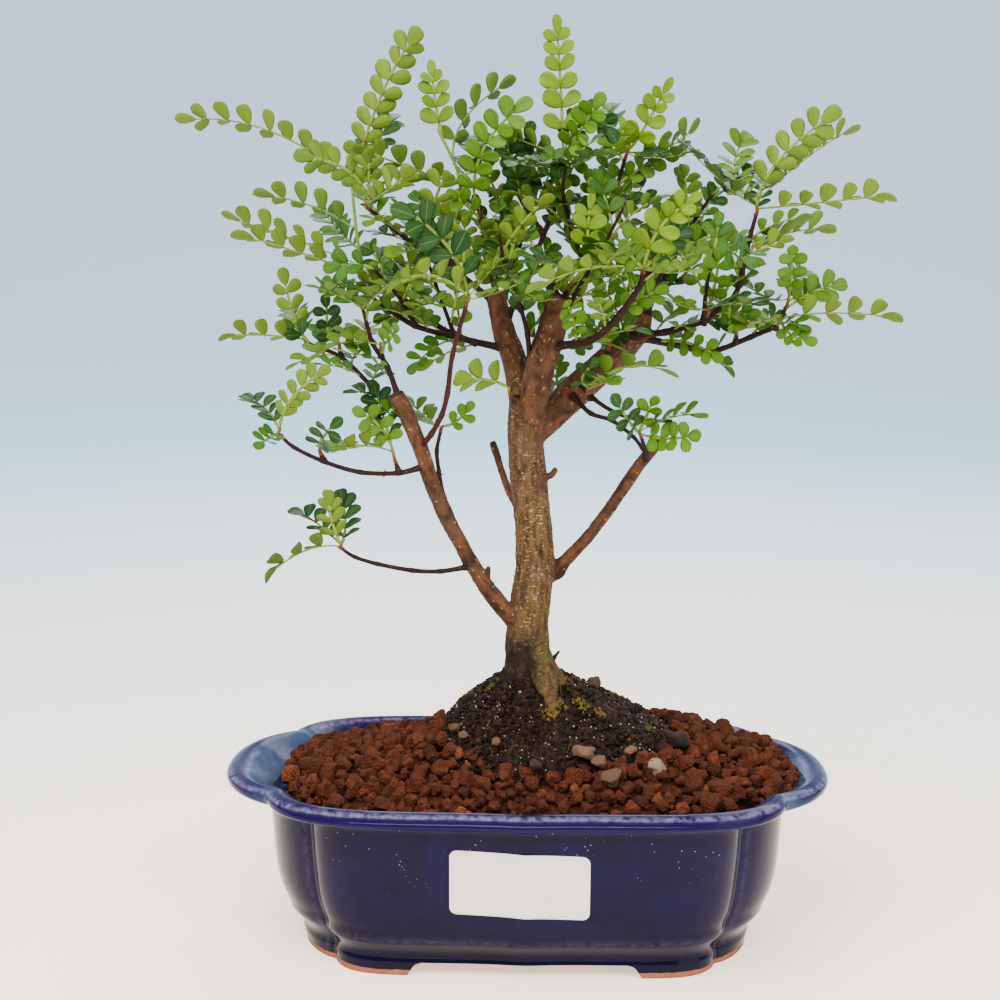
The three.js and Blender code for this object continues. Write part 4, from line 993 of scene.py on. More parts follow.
@dataclass(frozen=True)
class Mound:
    """The heights of the gravel and of the cone of dark soil in the pot's middle."""

    left: float = 30.0
    right: float = 55.0
    front: float = 38.0
    back: float = 37.0
    base: float = 69.5
    rise: float = 26.0

    def share(self, x: Amount, y: Amount) -> np.ndarray:
        """Return how far a place is from the mound's crown, 1 at its edge."""
        return np.hypot(x / np.where(np.asarray(x) < 0, self.left, self.right),
                        y / np.where(np.asarray(y) < 0, self.front, self.back))

    def edge(self, turns: Amount) -> tuple[np.ndarray, np.ndarray]:
        """Return where the mound's edge lies, in x and y, in each direction from its middle."""
        across, deep = np.cos(turns), np.sin(turns)
        return (np.where(across < 0, self.left, self.right) * across,
                np.where(deep < 0, self.front, self.back) * deep)

    def lean(self, x: Amount, y: Amount) -> Amount:
        """Return how much higher the mound stands to the left and the back."""
        return -0.06 * x + 0.12 * y

    def soil(self, x: Amount, y: Amount) -> np.ndarray:
        """Return the root ball's height."""
        share = np.clip(self.share(x, y), 0.1, 1)
        slump = 2.6 * smooth((share - 0.8) / 0.2)
        return self.base + self.rise * (1 - share) + self.lean(x, y) - slump

    def gravel(self, x: Amount, y: Amount) -> np.ndarray:
        """Return the gravel's height: it climbs to the mound, and is heaped to the right of it."""
        across, deep = np.abs(np.asarray(x, float)), np.abs(np.asarray(y, float))
        out = ((across / 88) ** 2.6 + (deep / 52) ** 2.6) ** (1 / 2.6)
        edge = 52.4 + 4 * (np.clip(x, 0, None) / 90) ** 1.5
        heap = 4 * hill(np.hypot(np.asarray(x) - 60, np.asarray(y) - 14), 32)
        skirt = 3.4 * hill((self.share(x, y) - 1) * 35, 9)
        return edge + (66 - edge) * np.clip(1.7 * (1 - out), 0, 1) ** 0.6 + heap + skirt


@dataclass
class GravelBed:
    """Baked clay grains on a closed bed that fills the pot."""

    form: PotForm = PotForm()
    mound: Mound = Mound()
    seed: int = 11
    tries: int = 14
    # How far out grains are tried for, to the ends and to the sides
    spread: tuple = (92, 56)
    # How many, their sizes, the least space between them and how deep they sit, as shares of their size
    crumbs: tuple = (1080, (1.6, 4.2), 0.55, 0.45)
    grains: tuple = (520, (3.9, 8.4), 0.62, -0.02)
    # Height and half length of the bed's rim and of the rings under it
    rim: tuple = (50.0, 84.4)
    below: tuple = ((12, 69.0), (24, 76.0), (46, 80.2))
    inset: float = 0.5
    # Height of the bed's edge, and how far the bed lies under the grains' tops
    brim: float = 51.0
    depth: float = 2.2

    def bed(self, shape: Shape) -> None:
        """Add the closed bed under the grains."""
        *rings, edge = [self.form.ring(z, self.form.numbers(self.form.inner_levels, z, half), self.inset)
                        for z, half in (*self.below, self.rim)]
        edge[:, 0] *= 1 - 0.045 * smooth((-edge[:, 0] - 50) / 34)
        for share in (1.0, 0.97, 0.93, 0.87, 0.8, 0.7, 0.6, 0.5):
            ring = edge.copy()
            ring[:, :2] *= share
            ring[:, 2] = self.mound.gravel(ring[:, 0], ring[:, 1]) - self.depth if share < 1 else self.brim
            rings.append(ring)
        shape.add_rings(rings, shade=0.12)

    def scatter(self, shape: Shape, library: list, count: int, sizes: tuple[float, float], spacing: float,
                sink: float, chance: random.Random) -> None:
        """Add grains, kept apart by a share of their size.

        Args:
            shape: Where they go.
            library: The grains' forms.
            count: How many are tried for.
            sizes: The smallest and largest.
            spacing: The least distance between two, as a share of their mean size.
            sink: How deep each sits in the bed, as a share of its size.
            chance: The stream of random numbers.
        """
        placed = np.empty((0, 3))
        for _ in range(count * self.tries):
            if len(placed) >= count:
                break
            turn, out = chance.uniform(0, math.tau), math.sqrt(chance.uniform(0.1, 1))
            x, y = self.spread[0] * out * math.cos(turn), self.spread[1] * out * math.sin(turn)
            size = sizes[0] + (sizes[1] - sizes[0]) * chance.random() ** 1.7
            if self.mound.share(x, y) < 0.92 or not self.inside(x, y, size * 0.42):
                continue
            gaps = np.hypot(placed[:, 0] - x, placed[:, 1] - y) - spacing * (placed[:, 2] + size) / 2
            if (gaps < 0).any():
                continue
            placed = np.vstack([placed, (x, y, size)])
            form, faces = chance.choice(library)
            height = float(self.mound.gravel(x, y)) - sink * size + chance.uniform(-0.5, 0.5)
            points = turned(form * size * 1.15, chance) + [x, y, height]
            shape.add(points, faces, shade=min(1.0, max(0.0, chance.gauss(0.46, 0.2))))

    def inside(self, x: float, y: float, reach: float) -> bool:
        """Return whether a grain of this reach lies inside the pot's mouth."""
        half = 88.5 + 4 * max(0.0, x / 90) ** 1.5 - 6 * max(0.0, -x / 90) ** 1.5
        return (abs(x) / (half - reach)) ** 2.6 + (abs(y) / (55 - reach)) ** 2.6 < 1

    def build(self) -> None:
        """Build the bed with its crumbs, and the larger grains on it."""
        chance = random.Random(self.seed)
        material = Grains().material()
        shape = Shape("shade")
        self.bed(shape)
        fine = Stones(seed=3, detail=3).library()
        plain = Stones(seed=4, detail=2).library()
        self.scatter(shape, plain, *self.crumbs, chance)
        settle(shape.piece("gravel_crumbs", material, 40), "clay_gravel", "clay_gravel")
        grains = Shape("shade")
        self.scatter(grains, fine, *self.grains, chance)
        settle(grains.piece("gravel_grains", material, 40), "clay_gravel")


@dataclass
class RootBall:
    """The dark mound of potting soil round the trunk, with grit, fibre and moss on it."""

    mound: Mound = Mound()
    seed: int = 5
    rings: int = 46
    spokes: int = 110
    bottom: float = 40.0
    hole: float = 6.0
    # How many soil bits are tried for, and how far from the trunk's middle they start
    bits: int = 4600
    clear: float = 8.0

    def surface(self, x: np.ndarray, y: np.ndarray) -> np.ndarray:
        """Return the mound's height, roughened."""
        flat = np.column_stack([np.ravel(x), np.ravel(y), np.zeros(np.size(x))])
        lumps = rough(flat, 7.0, 2, 3) * 1.1 + rough(flat, 1.9, 4, 3) * 0.55
        return self.mound.soil(x, y) + lumps.reshape(np.shape(x))

    def ground(self, shape: Shape) -> None:
        """Add the mound itself, closed underneath."""
        turns = spin(self.spokes)
        wobble = 1 + 0.035 * rough(np.column_stack([np.cos(turns) * 2, np.sin(turns) * 2, 0 * turns]), 1.0, 8, 2)
        edge = np.column_stack(self.mound.edge(turns)) * wobble[:, None]
        rings = [np.column_stack([edge * 0.8, np.full(self.spokes, self.bottom)]),
                 np.column_stack([edge * 0.97, self.mound.base - 5 + self.mound.lean(*edge.T)])]
        for step in range(self.rings):
            share = (1 - step / self.rings) ** 0.85
            points = edge * max(share, self.hole / 60)
            rings.append(np.column_stack([points, self.surface(*points.T) - 1.6 * (share > 0.99)]))
        rings.append(np.column_stack([edge * 0.05, np.full(self.spokes, 84.0)]))
        rings.append(np.column_stack([edge * 0.05, np.full(self.spokes, self.bottom + 1)]))
        shape.add_rings(rings)

    def crumbs(self, shape: Shape) -> None:
        """Add soil crumbs, brown bits and fine white grit."""
        chance = random.Random(self.seed)
        library = Stones(seed=7, variants=8, planes=5, detail=1).library()
        for _ in range(self.bits):
            turn, out = chance.uniform(0, math.tau), math.sqrt(chance.uniform(0.01, 1.05))
            x, y = (float(part) * out for part in self.mound.edge(turn))
            if math.hypot(x, y) < self.clear:
                continue
            kind = chance.random()
            size = chance.uniform(0.8, 3.2) if kind < 0.5 else chance.uniform(0.3, 0.8) if kind < 0.7 else 1.2
            shade = 0.0 if kind < 0.4 else chance.uniform(0.1, 0.6) if kind < 0.5 or kind > 0.7 else 1.0
            form, faces = chance.choice(library)
            z = float(self.mound.soil(x, y)) + chance.uniform(-0.2, 0.75)
            shape.add(turned(form * size, chance) + [x, y, z], faces, shade=shade)

    def build(self) -> Piece:
        """Build the mound and return it."""
        shape = Shape("shade")
        self.ground(shape)
        self.crumbs(shape)
        return settle(shape.piece("root_ball_soil", Soil().material(), 50), "potting_soil", "root_ball")


@dataclass
class Litter:
    """What lies on the soil: moss cushions, stray pebbles, rootlets and straw."""

    mound: Mound = Mound()
    seed: int = 29
    fibres: int = 70
    # How far the fibres lie to the left, to the right, and to the front and back
    reach: tuple = (30, 52, 36)
    lift: float = 0.7
    # Place in x, y and z, length, shade from black to pale
    pebbles: tuple = (
        (18.4, -31, 71.3, 7.5, 0.62), (23.8, -35, 69, 6, 0.55), (27, -40, 65.2, 10, 0.42), (42.3, -31, 66.6, 8, 0.95),
        (49, -16, 72, 9, 0.04), (22, 7, 84, 7.5, 0.3), (-10, -29, 73.8, 4, 0.5), (3, -37.5, 68.6, 5.4, 0.1),
        (34, -26, 70.5, 4.5, 0.6), (-24, -14, 74, 5, 0.45), (-21, -19, 72.8, 4, 0.5), (47.5, -22, 67.3, 4.5, 0.7))
    # Place in x and y, reach, shade from green to straw
    moss: tuple = (
        (10, -15, 3.2, 0.42), (7.5, -19, 2.4, 0.48), (18, -12, 2.6, 0.4), (24, -12, 2.0, 0.35), (28.4, 9.5, 4, 0.15),
        (-21, 8, 3.2, 0.1), (-12, -3, 2.2, 0.2), (41, -8, 1.4, 0.1), (12.5, -4, 2.2, 0.3))

    def build(self) -> None:
        """Build each kind of litter."""
        chance = random.Random(self.seed)
        stones = Shape("shade")
        library = Stones(seed=19, variants=8, planes=8, detail=3).library()
        for (x, y, z, length, shade), (form, faces) in zip(self.pebbles, cycle(library)):
            stones.add(turned(form * length * 1.1, chance) * [1, 1, 0.8] + [x, y, z], faces, shade=shade)
        settle(stones.piece("stray_pebbles", PEBBLES.material(), 40), "clay_gravel")
        green = Shape("shade")
        blob = Stones(seed=23, variants=5, planes=0, detail=2).library()
        for x, y, reach, shade in self.moss:
            for _ in range(int(reach * 15)):
                turn, out = chance.uniform(0, math.tau), 1.15 * reach * chance.random() ** 0.7
                px, py = x + out * math.cos(turn), y + out * math.sin(turn) * 0.8
                size = chance.uniform(0.5, 1.2)
                form, faces = chance.choice(blob)
                points = turned(form * size, chance) * [1, 1, 1.25]
                green.add(points + [px, py, float(self.mound.soil(px, py)) + 0.6 + chance.uniform(0, 0.5)],
                          faces, shade=shade + chance.uniform(-0.15, 0.2))
        left, right, deep = self.reach
        for _ in range(self.fibres):
            turn, out = chance.uniform(0, math.tau), chance.uniform(0.25, 1.0)
            x = (left if math.cos(turn) < 0 else right) * out * math.cos(turn)
            y = deep * out * math.sin(turn)
            self.straw(green, chance, np.array([x, y, float(self.mound.soil(x, y)) + self.lift]))
        settle(green.piece("moss_and_fibres", MOSS.material()), "potting_soil")

    def straw(self, shape: Shape, chance: random.Random, start: np.ndarray) -> None:
        """Add one bent fibre that lies along the soil."""
        heading = chance.uniform(0, math.tau)
        point, rings = start, []
        width = chance.uniform(0.07, 0.16)
        for step in range(6):
            along = np.array([math.cos(heading), math.sin(heading), 0])
            side = np.array([-along[1], along[0], 0])
            taper = width * (1 - 0.12 * step)
            up = np.array([0, 0, taper])
            rings.append(np.array([point + side * taper, point + up, point - side * taper, point - up]))
            heading += chance.uniform(-0.5, 0.5)
            point = point + along * chance.uniform(0.8, 1.7)
            point[2] = float(self.mound.soil(point[0], point[1])) + self.lift + chance.uniform(-0.2, 0.5)
        shape.add_rings(rings, shade=chance.choice((0.55, 0.8, 1.2, 1.4, 1.5)))


# Centre lines of the limbs, with radii, and the short spurs, each from root to tip

LIMBS = (
    ((1, 0, 62, 5.5), (1, 0, 80, 8.4), (0, 0, 90, 8), (0, 0, 106, 7), (2, 0, 128, 6.4), (0.6, 0, 149, 6.1),
     (-1.2, 0, 166, 6.1), (-1, 0, 178, 6.4), (-2, 1, 187, 4.8)),
    ((-1, 2, 172, 4), (-5, 5, 194, 4.2), (-9, 7, 205, 3.8), (-12, 8, 218, 3.4)),
    ((-11, 8, 214, 1.9), (-14, 8, 228, 1.4), (-17, 6, 243, 1.1)),
    ((-12, 8, 214, 1.7), (-25, 2, 225, 1.3), (-37, -6, 233, 1.2), (-52, -14, 245, 1)),
    ((-8, 6, 199, 2), (-25, 2, 203, 1.4), (-38, -2, 207, 1.3), (-46, -4, 212, 1.1), (-53, -4, 217, 0.9)),
    ((-18, 3, 201, 1.4), (-31, 10, 206, 1.3), (-42, 16, 214, 1.1), (-45, 18, 217, 0.9)),
    ((-8, 7, 209, 1.6), (-2, 6, 221, 1.3), (4, 4, 237, 1.2), (8, 2, 248, 1.1), (9, 2, 255, 1)),
    ((-12, 8, 221, 1.4), (-9, 5, 226, 1.1), (-6, 3, 230, 0.9)),
    ((-1, 0, 170, 4.4), (3, -7, 193, 4.9), (6, -9, 203, 4.7), (9, -11, 217, 4.5), (9.4, -11.2, 218.5, 3.9)),
    ((7, -10, 201, 2.2), (19, -20, 204, 1.7), (24, -24, 208, 1.7), (29, -28, 214, 1.5), (34, -32, 222, 1.3),
     (35, -33, 226, 1.1)),
    ((0, -6, 194, 1.5), (-1, -11, 205, 1.2), (-3, -14, 213, 1), (-5, -16, 217, 0.9)),
    ((8, -8, 212, 1.8), (13, 0, 220, 1.6), (18, 8, 226, 1.5), (24, 16, 242, 1.3), (28, 18, 252, 1.1),
     (31, 18, 262, 0.9)),
    ((8, -11, 213, 1.2), (12, -14, 220, 0.9)),
    ((-1, 2, 170, 5), (10, 7, 180, 5.4), (23, 9, 192, 5.2), (33, 10, 202, 4.6), (38, 10, 211, 3)),
    ((33, 8, 203, 2.4), (40, 4, 205, 2)),
    ((36, 8, 204, 2), (45, 6, 205, 1.6), (57, 2, 209, 1.5), (63, 0, 214, 1.4), (67, -1, 218, 1.3),
     (69, -1, 225, 1.2), (71, -2, 236, 1.1), (73, -2, 244, 0.9)),
    ((36, 9, 203, 2), (54, 14, 199, 1.5), (62, 16, 198, 1.4), (74, 14, 203, 1.3), (82, 12, 207, 1.1),
     (85, 11, 213, 0.9)),
    ((37, 11, 207, 1.8), (42, 24, 220, 1.4), (48, 34, 230, 1.2), (55, 38, 233, 0.9)),
    ((0, 0, 104, 4), (-5, -2, 109, 3.4), (-10, -5, 115, 3), (-16, -8, 124, 2.7), (-24, -12, 139, 2.6),
     (-31, -16, 155, 2.6), (-35, -19, 168, 2.6), (-40, -22, 181, 2.7), (-43, -23, 187, 2.5)),
    ((-19, -9, 128, 1.4), (-29, -13, 127, 1.1), (-38, -17, 128, 1.1), (-49, -22, 131, 1), (-56, -26, 134, 0.9),
     (-60, -28, 137, 0.8)),
    ((-33, -18, 163, 1.7), (-42, -22, 161, 1.2), (-54, -28, 162, 1.1), (-65, -33, 166, 1), (-74, -37, 171, 0.9),
     (-78, -39, 175, 0.8)),
    ((-42, -22, 185, 1.5), (-46, -18, 195, 1.2), (-51, -14, 202, 1.1), (-54, -10, 211, 0.9)),
    ((-37, -20, 174, 1.5), (-43, -11, 179.5, 1.3), (-53, 3, 186.5, 1.2), (-64, 14, 195, 1.1), (-76, 22, 199, 0.9)),
    ((-35.5, -19, 168.5, 1.5), (-31.5, -24.5, 174, 1.3), (-28, -27.5, 180.5, 1.2), (-26, -30, 188, 1.2),
     (-24.4, -32.5, 200, 1.1), (-20, -36, 216, 1)),
    ((-28, -14, 151, 1.3), (-30, -4, 159, 1), (-31, 2, 165, 1), (-30, 6, 171, 0.8)),
    ((0, 0, 142, 2), (-3, 6, 144, 1.6), (-8, 16, 152, 1.4), (-13, 20, 166, 1.3)),
    ((1, 1, 118, 3), (6, 3, 122, 2.5), (17, -2, 134, 2.1), (25, -6, 145, 2.1), (35, -10, 161, 2.1),
     (43, -13, 172, 2.1)),
    ((38, -12, 165, 1.4), (37, -17, 170, 1), (36, -20, 173, 0.9)),
    ((14, 2, 184, 1.4), (20, -6, 179, 1.1), (27, -9, 177, 1), (34, -12, 172, 0.9), (37, -14, 168, 0.9)),
    ((17, 3, 188, 1.4), (21, -8, 184, 1.1), (28, -12, 180, 1), (36, -15, 178, 0.9), (46, -17, 178, 0.8)),
    ((3, 0, 156, 1.8), (7.2, -3, 158, 1.3), (9, -3.6, 160.4, 0.9)),
    ((-14, -7, 122, 1.2), (-13, -10, 128, 0.9)),
    ((3, -2, 199, 1.4), (3, -14, 200, 1.1)),
)
SPURS = (
    ((70, -1, 231), (71, -4, 232)), ((82, 12, 206), (82, 9, 208)), ((69, 15, 201), (69, 13, 204)),
    ((57, 2, 208), (58, 0, 211)), ((24, 16, 241), (22, 12, 243)), ((-1, -2, 183), (-6, -8, 185)),
    ((-65, -33, 166), (-66, -33, 168.5)), ((-42, -22, 161), (-43, -23, 164.5)),
    ((-64, 14, 195), (-64.5, 15, 197.5)), ((-48, -17, 198), (-48, -18.5, 200)),
    ((-38, -2, 207), (-39, -4, 209.5)), ((20, -6, 184), (19, -9.5, 186)), ((25, 7, 194), (26, 3.5, 199.5)),
    ((10, 9, 180), (10, 15, 182)), ((13, 0, 220), (15.5, -0.5, 217.5)), ((42, 24, 220), (41, 26, 222)),
    ((-14, 8, 228), (-14.5, 10.5, 229)), ((-30, -2, 228), (-30, -2.5, 230.5)),
)

# Thin twigs that carry leaves inside the crown, and the limbs of LIMBS that do so too
FINE_TWIGS = (
    ((-10, 8, 212, 1.1), (-6, 14, 226, 0.9), (-2, 20, 240, 0.7), (2, 24, 252, 0.5)),
    ((4, 4, 237, 0.9), (-3, 9, 247, 0.7), (-9, 13, 257, 0.5)),
    ((18, 8, 226, 1.0), (13, -2, 239, 0.8), (10, -9, 251, 0.6), (11, -12, 259, 0.5)),
    ((24, 16, 242, 0.9), (31, 20, 247, 0.7), (37, 23, 250, 0.5)),
    ((-3, -14, 213, 0.8), (-8, -21, 226, 0.7), (-10, -26, 238, 0.5)),
    ((38, 10, 209, 1.2), (45, 15, 226, 0.9), (53, 18, 239, 0.7), (60, 18, 250, 0.5)),
    ((57, 2, 209, 0.9), (57, -7, 221, 0.7), (59, -12, 233, 0.5)),
    ((-25, 2, 225, 0.9), (-31, -3, 238, 0.7), (-35, -7, 248, 0.5)),
    ((-14, 8, 228, 0.9), (-10, 14, 242, 0.7), (-8, 20, 256, 0.5)),
    ((42, 24, 220, 0.9), (36, 32, 233, 0.7), (28, 36, 245, 0.5)),
    ((31, 9, 199, 1.2), (33, -3, 213, 0.9), (38, -9, 226, 0.7), (44, -11, 240, 0.5)),
    ((-38, -2, 207, 0.8), (-42, -12, 216, 0.6), (-50, -18, 226, 0.5)),
    ((-25, 2, 203, 0.8), (-32, 12, 220, 0.6), (-38, 18, 236, 0.5)),
    ((9, -8, 203, 0.9), (14, -14, 218, 0.7), (22, -18, 232, 0.6), (29, -19, 246, 0.5)),
)
CROWN_TWIGS = (2, 3, 4, 5, 6, 7, 9, 10, 11, 15, 16, 17, 21, 22)


# The wood

Line = Sequence[tuple[float, float, float, float]]


def smooth_line(line: Sequence[Sequence[float]], step: float) -> np.ndarray:
    """Return points about a step apart on a smooth curve through a line's points.

    Args:
        line: The points, with the radius, if any, as a fourth number.
        step: The distance between samples, in millimetres.

    Returns:
        An array with a row for each sample.
    """
    points = np.array(line, float)
    pulls = np.gradient(points, axis=0) * 0.92
    result = [points[0]]
    for first, second, pull_a, pull_b in zip(points, points[1:], pulls, pulls[1:]):
        count = max(2, math.ceil(float(np.linalg.norm((second - first)[:3])) / step))
        for share in np.linspace(0, 1, count + 1)[1:]:
            square, cube = share ** 2, share ** 3
            result.append((2 * cube - 3 * square + 1) * first + (cube - 2 * square + share) * pull_a
                          + (3 * square - 2 * cube) * second + (cube - square) * pull_b)
    return np.array(result)


def frames_along(points: np.ndarray) -> tuple[np.ndarray, np.ndarray, np.ndarray]:
    """Return the direction and two steady side directions at each point of a line."""
    ways = np.gradient(points, axis=0)
    ways /= np.linalg.norm(ways, axis=1)[:, None]
    side = unit(np.cross(ways[0], [0.31, 0.95, 0.05]))
    sides = []
    for way in ways:
        side = unit(side - way * float(side @ way))
        sides.append(side)
    first = np.array(sides)
    return ways, first, np.cross(ways, first)


class Grown(Enum):
    """What a limb's bark looks like, from thin dark twig to flecked old trunk."""

    TWIG = 0.0
    YOUNG = 0.3
    BOUGH = 0.5
    OLIVE = 0.62
    TRUNK = 1.0


@dataclass
class Limb:
    """A limb: its centre line with radii, and how old its bark is."""

    line: Line
    grown: Grown = Grown.TWIG
    fused: bool = False
    slimmer: float = 1.0
    red: float = 0.0
    samples: np.ndarray = field(init=False)
    lengths: np.ndarray = field(init=False)

    def __post_init__(self) -> None:
        """Work out the smooth line and the length up to each of its points."""
        self.samples = smooth_line(self.line, 1.3 if self.fused else 1.7)
        self.samples[:, 3] *= self.slimmer
        self.lengths = lengths_along(self.samples[:, :3])

    def tube(self, shape: Shape, sides: int, offset: float, **values: float) -> None:
        """Add the limb's tube, with rounded ends, a collar at its base and knobbly nodes.

        Args:
            shape: Where it goes.
            sides: How many sides it has.
            offset: A number that sets its bark pattern apart from other limbs'.
            values: Other stored values.
        """
        ways, first, second = frames_along(self.samples[:, :3])
        turns = spin(sides)
        radii = self.samples[:, 3] * (1 + 0.55 * hill(self.lengths, 2.4))
        for corner in np.array(self.line)[1:-1, :3]:
            radii *= 1 + 0.22 * hill(np.linalg.norm(self.samples[:, :3] - corner, axis=1), 1.1)
        rings, wraps = [], []
        ends = [(0, -0.35, 0.55), *[(index, 0.0, 1.0) for index in range(len(radii))], (-1, 0.35, 0.6)]
        for index, ahead, share in ends:
            reach = radii[index] * share
            centre = self.samples[index, :3] + ways[index] * ahead * radii[index]
            rings.append(hoop(centre, first[index], second[index], turns, reach))
            wraps.append(np.column_stack([reach * np.cos(turns) + offset * 9, reach * np.sin(turns),
                                          np.full(sides, self.lengths[index] + offset * 31)]))
        wrap = np.concatenate(wraps)
        shape.add_rings(rings, wrap_x=wrap[:, 0], wrap_y=wrap[:, 1], wrap_z=wrap[:, 2], **values)


@dataclass(frozen=True)
class Mark:
    """A scar, knob or crack on the wood."""

    at: Point
    reach: float
    height: float
    dark: float = 0.0
    stretch: float = 1.0


@dataclass
class Wood:
    """Trunk, leaders, boughs, twigs, thorns and surface roots."""

    seed: int = 17
    voxel: float = 0.00055
    # Which limbs are fused into one skin, and their bark
    fused: tuple = ((0, Grown.TRUNK), (1, Grown.OLIVE), (8, Grown.BOUGH), (13, Grown.BOUGH), (18, Grown.BOUGH),
                    (25, Grown.OLIVE), (26, Grown.YOUNG), (30, Grown.BOUGH), (31, Grown.YOUNG), (32, Grown.BOUGH))
    slimmer: float = 0.7
    # The red twig and the limbs that end in a saw cut, by their place in LIMBS
    red_twig: int = 23
    sawn: tuple = (8, 26, 18, 25)
    skin_sides: int = 28
    twig_sides: int = 9
    # A sprout beside the trunk's foot, and a hooked thorn on the leader
    sprouts: tuple = (((7.4, -2, 93.6, 0.75), (8.9, -2, 95.6, 0.6), (10.6, -2, 97.8, 0.4)),
                      ((6.2, -11, 219.4, 1.2), (7.4, -11, 221.4, 0.7), (8.6, -11, 221.6, 0.35)))
    roots: tuple = (
        ((0.5, 0.5, 104, 4), (3, -3.4, 97, 4.7), (5.2, -7, 91.5, 4.6), (6.8, -10.5, 87, 3.6), (7.9, -14.2, 82.6, 2.5),
         (8.8, -18, 78.4, 1.3)),
        ((2, 0, 98, 5), (7, -2, 91, 3.8), (11, -4, 87, 2.4), (15, -6, 83.5, 1.4)),
        ((-1, -1, 98, 4.8), (-5, -4, 90.5, 3.2), (-7.5, -7, 86, 2)),
        ((0, 2, 99, 4.5), (-4, 6, 91.5, 3.2), (-7, 10, 87, 1.8)),
        ((1, 2, 99, 4.5), (6, 7, 91, 3), (10, 11, 87, 1.8)),
    )
    # Place, reach, height, darkness and stretch of each scar, knob or crack
    marks: tuple = (
        ((3.1, -14, 206.5), 1.5, 0.6, 0.7), ((2.6, -10, 191.5), 1.6, -0.5, 0.95),
        ((-6.2, -4, 182.8), 1.5, -0.5, 0.9), ((2, -8, 187), 1.3, 0.7, 0.5), ((3.8, -6, 132.2), 0.7, -0.9, 1.0, 2.6),
        ((2.9, -6, 127.5), 0.6, -0.7, 1.0, 2.4), ((4, -6.5, 106.9), 2.6, 0.7, 0.35),
        ((-5.5, -3, 146), 1.5, 0.8, 0.5), ((10, 2, 124.5), 3.2, 1.3, 0.1), ((40.5, 9, 203), 3, 1.2, 0.2),
        ((33, 6, 199), 2, 0.9, 0.4), ((-19.5, -11, 131), 1.3, 0.8, 0.6), ((-13, -8, 121.5), 1.4, 0.8, 0.4),
        ((-31.5, -18, 156), 1.3, 0.7, 0.5), ((-27, -15, 146), 1.1, 0.7, 0.7), ((22, -3, 142), 1.2, 0.7, 0.3),
        ((31, -9, 155), 1.4, 0.6, 0.3), ((14, -1, 131), 1.2, 0.6, 0.3), ((-4, -5, 162), 2.2, 0.6, 0.2),
        ((5, -5, 170), 2.0, 0.6, 0.25), ((0, -7, 116), 2.4, 0.5, 0.1))

    def limbs(self) -> list[Limb]:
        """Return every limb, with the roots last."""
        kinds = dict(self.fused)
        result = [Limb(line, kinds.get(index, Grown.TWIG), index in kinds, 1.0 if index in kinds else self.slimmer,
                       float(index == self.red_twig)) for index, line in enumerate(LIMBS)]
        result += [Limb(((*root, 0.85), (*tip, 0.6))) for root, tip in SPURS]
        result += [Limb(line) for line in (*FINE_TWIGS, *self.sprouts)]
        result += [Limb(line, Grown.TRUNK, True) for line in self.roots]
        return result

    def skin(self, limbs: Sequence[Limb]) -> Mesh:
        """Return one skin over the fused limbs, with scars and bark relief."""
        shape = Shape()
        for limb in limbs:
            _, first, second = frames_along(limb.samples[:, :3])
            shape.add_rings([hoop(sample[:3], first[i], second[i], spin(self.skin_sides), sample[3])
                             for i, sample in enumerate(limb.samples)])
        body = in_scene("skin", shape.mesh("skin"))
        remesh = body.modifiers.new("remesh", "REMESH")
        remesh.mode, remesh.voxel_size = "VOXEL", self.voxel
        ease = body.modifiers.new("ease", "SMOOTH")
        ease.factor, ease.iterations = 0.5, 7
        apply_modifiers(body)
        mesh = body.data
        bpy.data.objects.remove(body)
        return mesh

    def dress_skin(self, mesh: Mesh, limbs: Sequence[Limb]) -> dict[str, np.ndarray]:
        """Raise the bark's relief on the skin and return the values that its points store."""
        points = positions(mesh)
        best = np.full(len(points), 1e9)
        wrap = np.zeros((len(points), 3))
        weights, ages = np.zeros(len(points)), np.zeros(len(points))
        for number, limb in enumerate(limbs):
            centres, radii = limb.samples[:, :3], limb.samples[:, 3]
            ways, first, second = frames_along(centres)
            gaps = np.linalg.norm(points[:, None, :] - centres[None], axis=2) - radii[None]
            nearest = gaps.argmin(axis=1)
            gap = gaps[np.arange(len(points)), nearest]
            away = points - centres[nearest]
            local = np.column_stack([(away * first[nearest]).sum(1) + number * 9, (away * second[nearest]).sum(1),
                                     limb.lengths[nearest] + (away * ways[nearest]).sum(1) + number * 31])
            closer = gap < best
            wrap[closer], best[closer] = local[closer], gap[closer]
            weight = np.exp(-np.clip(gap, -2, 20) / 2.2)
            weights += weight
            ages += weight * limb.grown.value
        age = ages / weights
        normals = read(mesh.vertices, "normal")
        lift = rough(wrap * [1, 1, 0.3], 2.6, 3, 3) * (0.15 + 0.34 * age)
        lift += rough(wrap * [1, 1, 0.55], 0.9, 5, 2) * (0.06 + 0.14 * age)
        wound = np.zeros(len(points))
        for mark in (Mark(*row) for row in self.marks):
            surface = points[np.linalg.norm(points - mark.at, axis=1).argmin()]
            near = hill(np.linalg.norm((points - surface) / [1, 1, mark.stretch], axis=1), mark.reach)
            lift += near * mark.height
            wound = np.maximum(wound, near * mark.dark)
        points = points + normals * lift[:, None]
        for end, way, radius in self.cuts():
            away = points - end
            ahead = away @ way
            across = np.linalg.norm(away - ahead[:, None] * way, axis=1)
            face = smooth((ahead + 0.9) / 0.6) * (across < radius * 1.3)
            wound = np.maximum(wound, face * (0.55 + 0.45 * smooth((across / radius - 0.55) / 0.3)))
        mesh.vertices.foreach_set("co", (points * MM + SHIFT).ravel())
        return {"age": age, "wound": wound, "wrap_x": wrap[:, 0], "wrap_y": wrap[:, 1], "wrap_z": wrap[:, 2]}

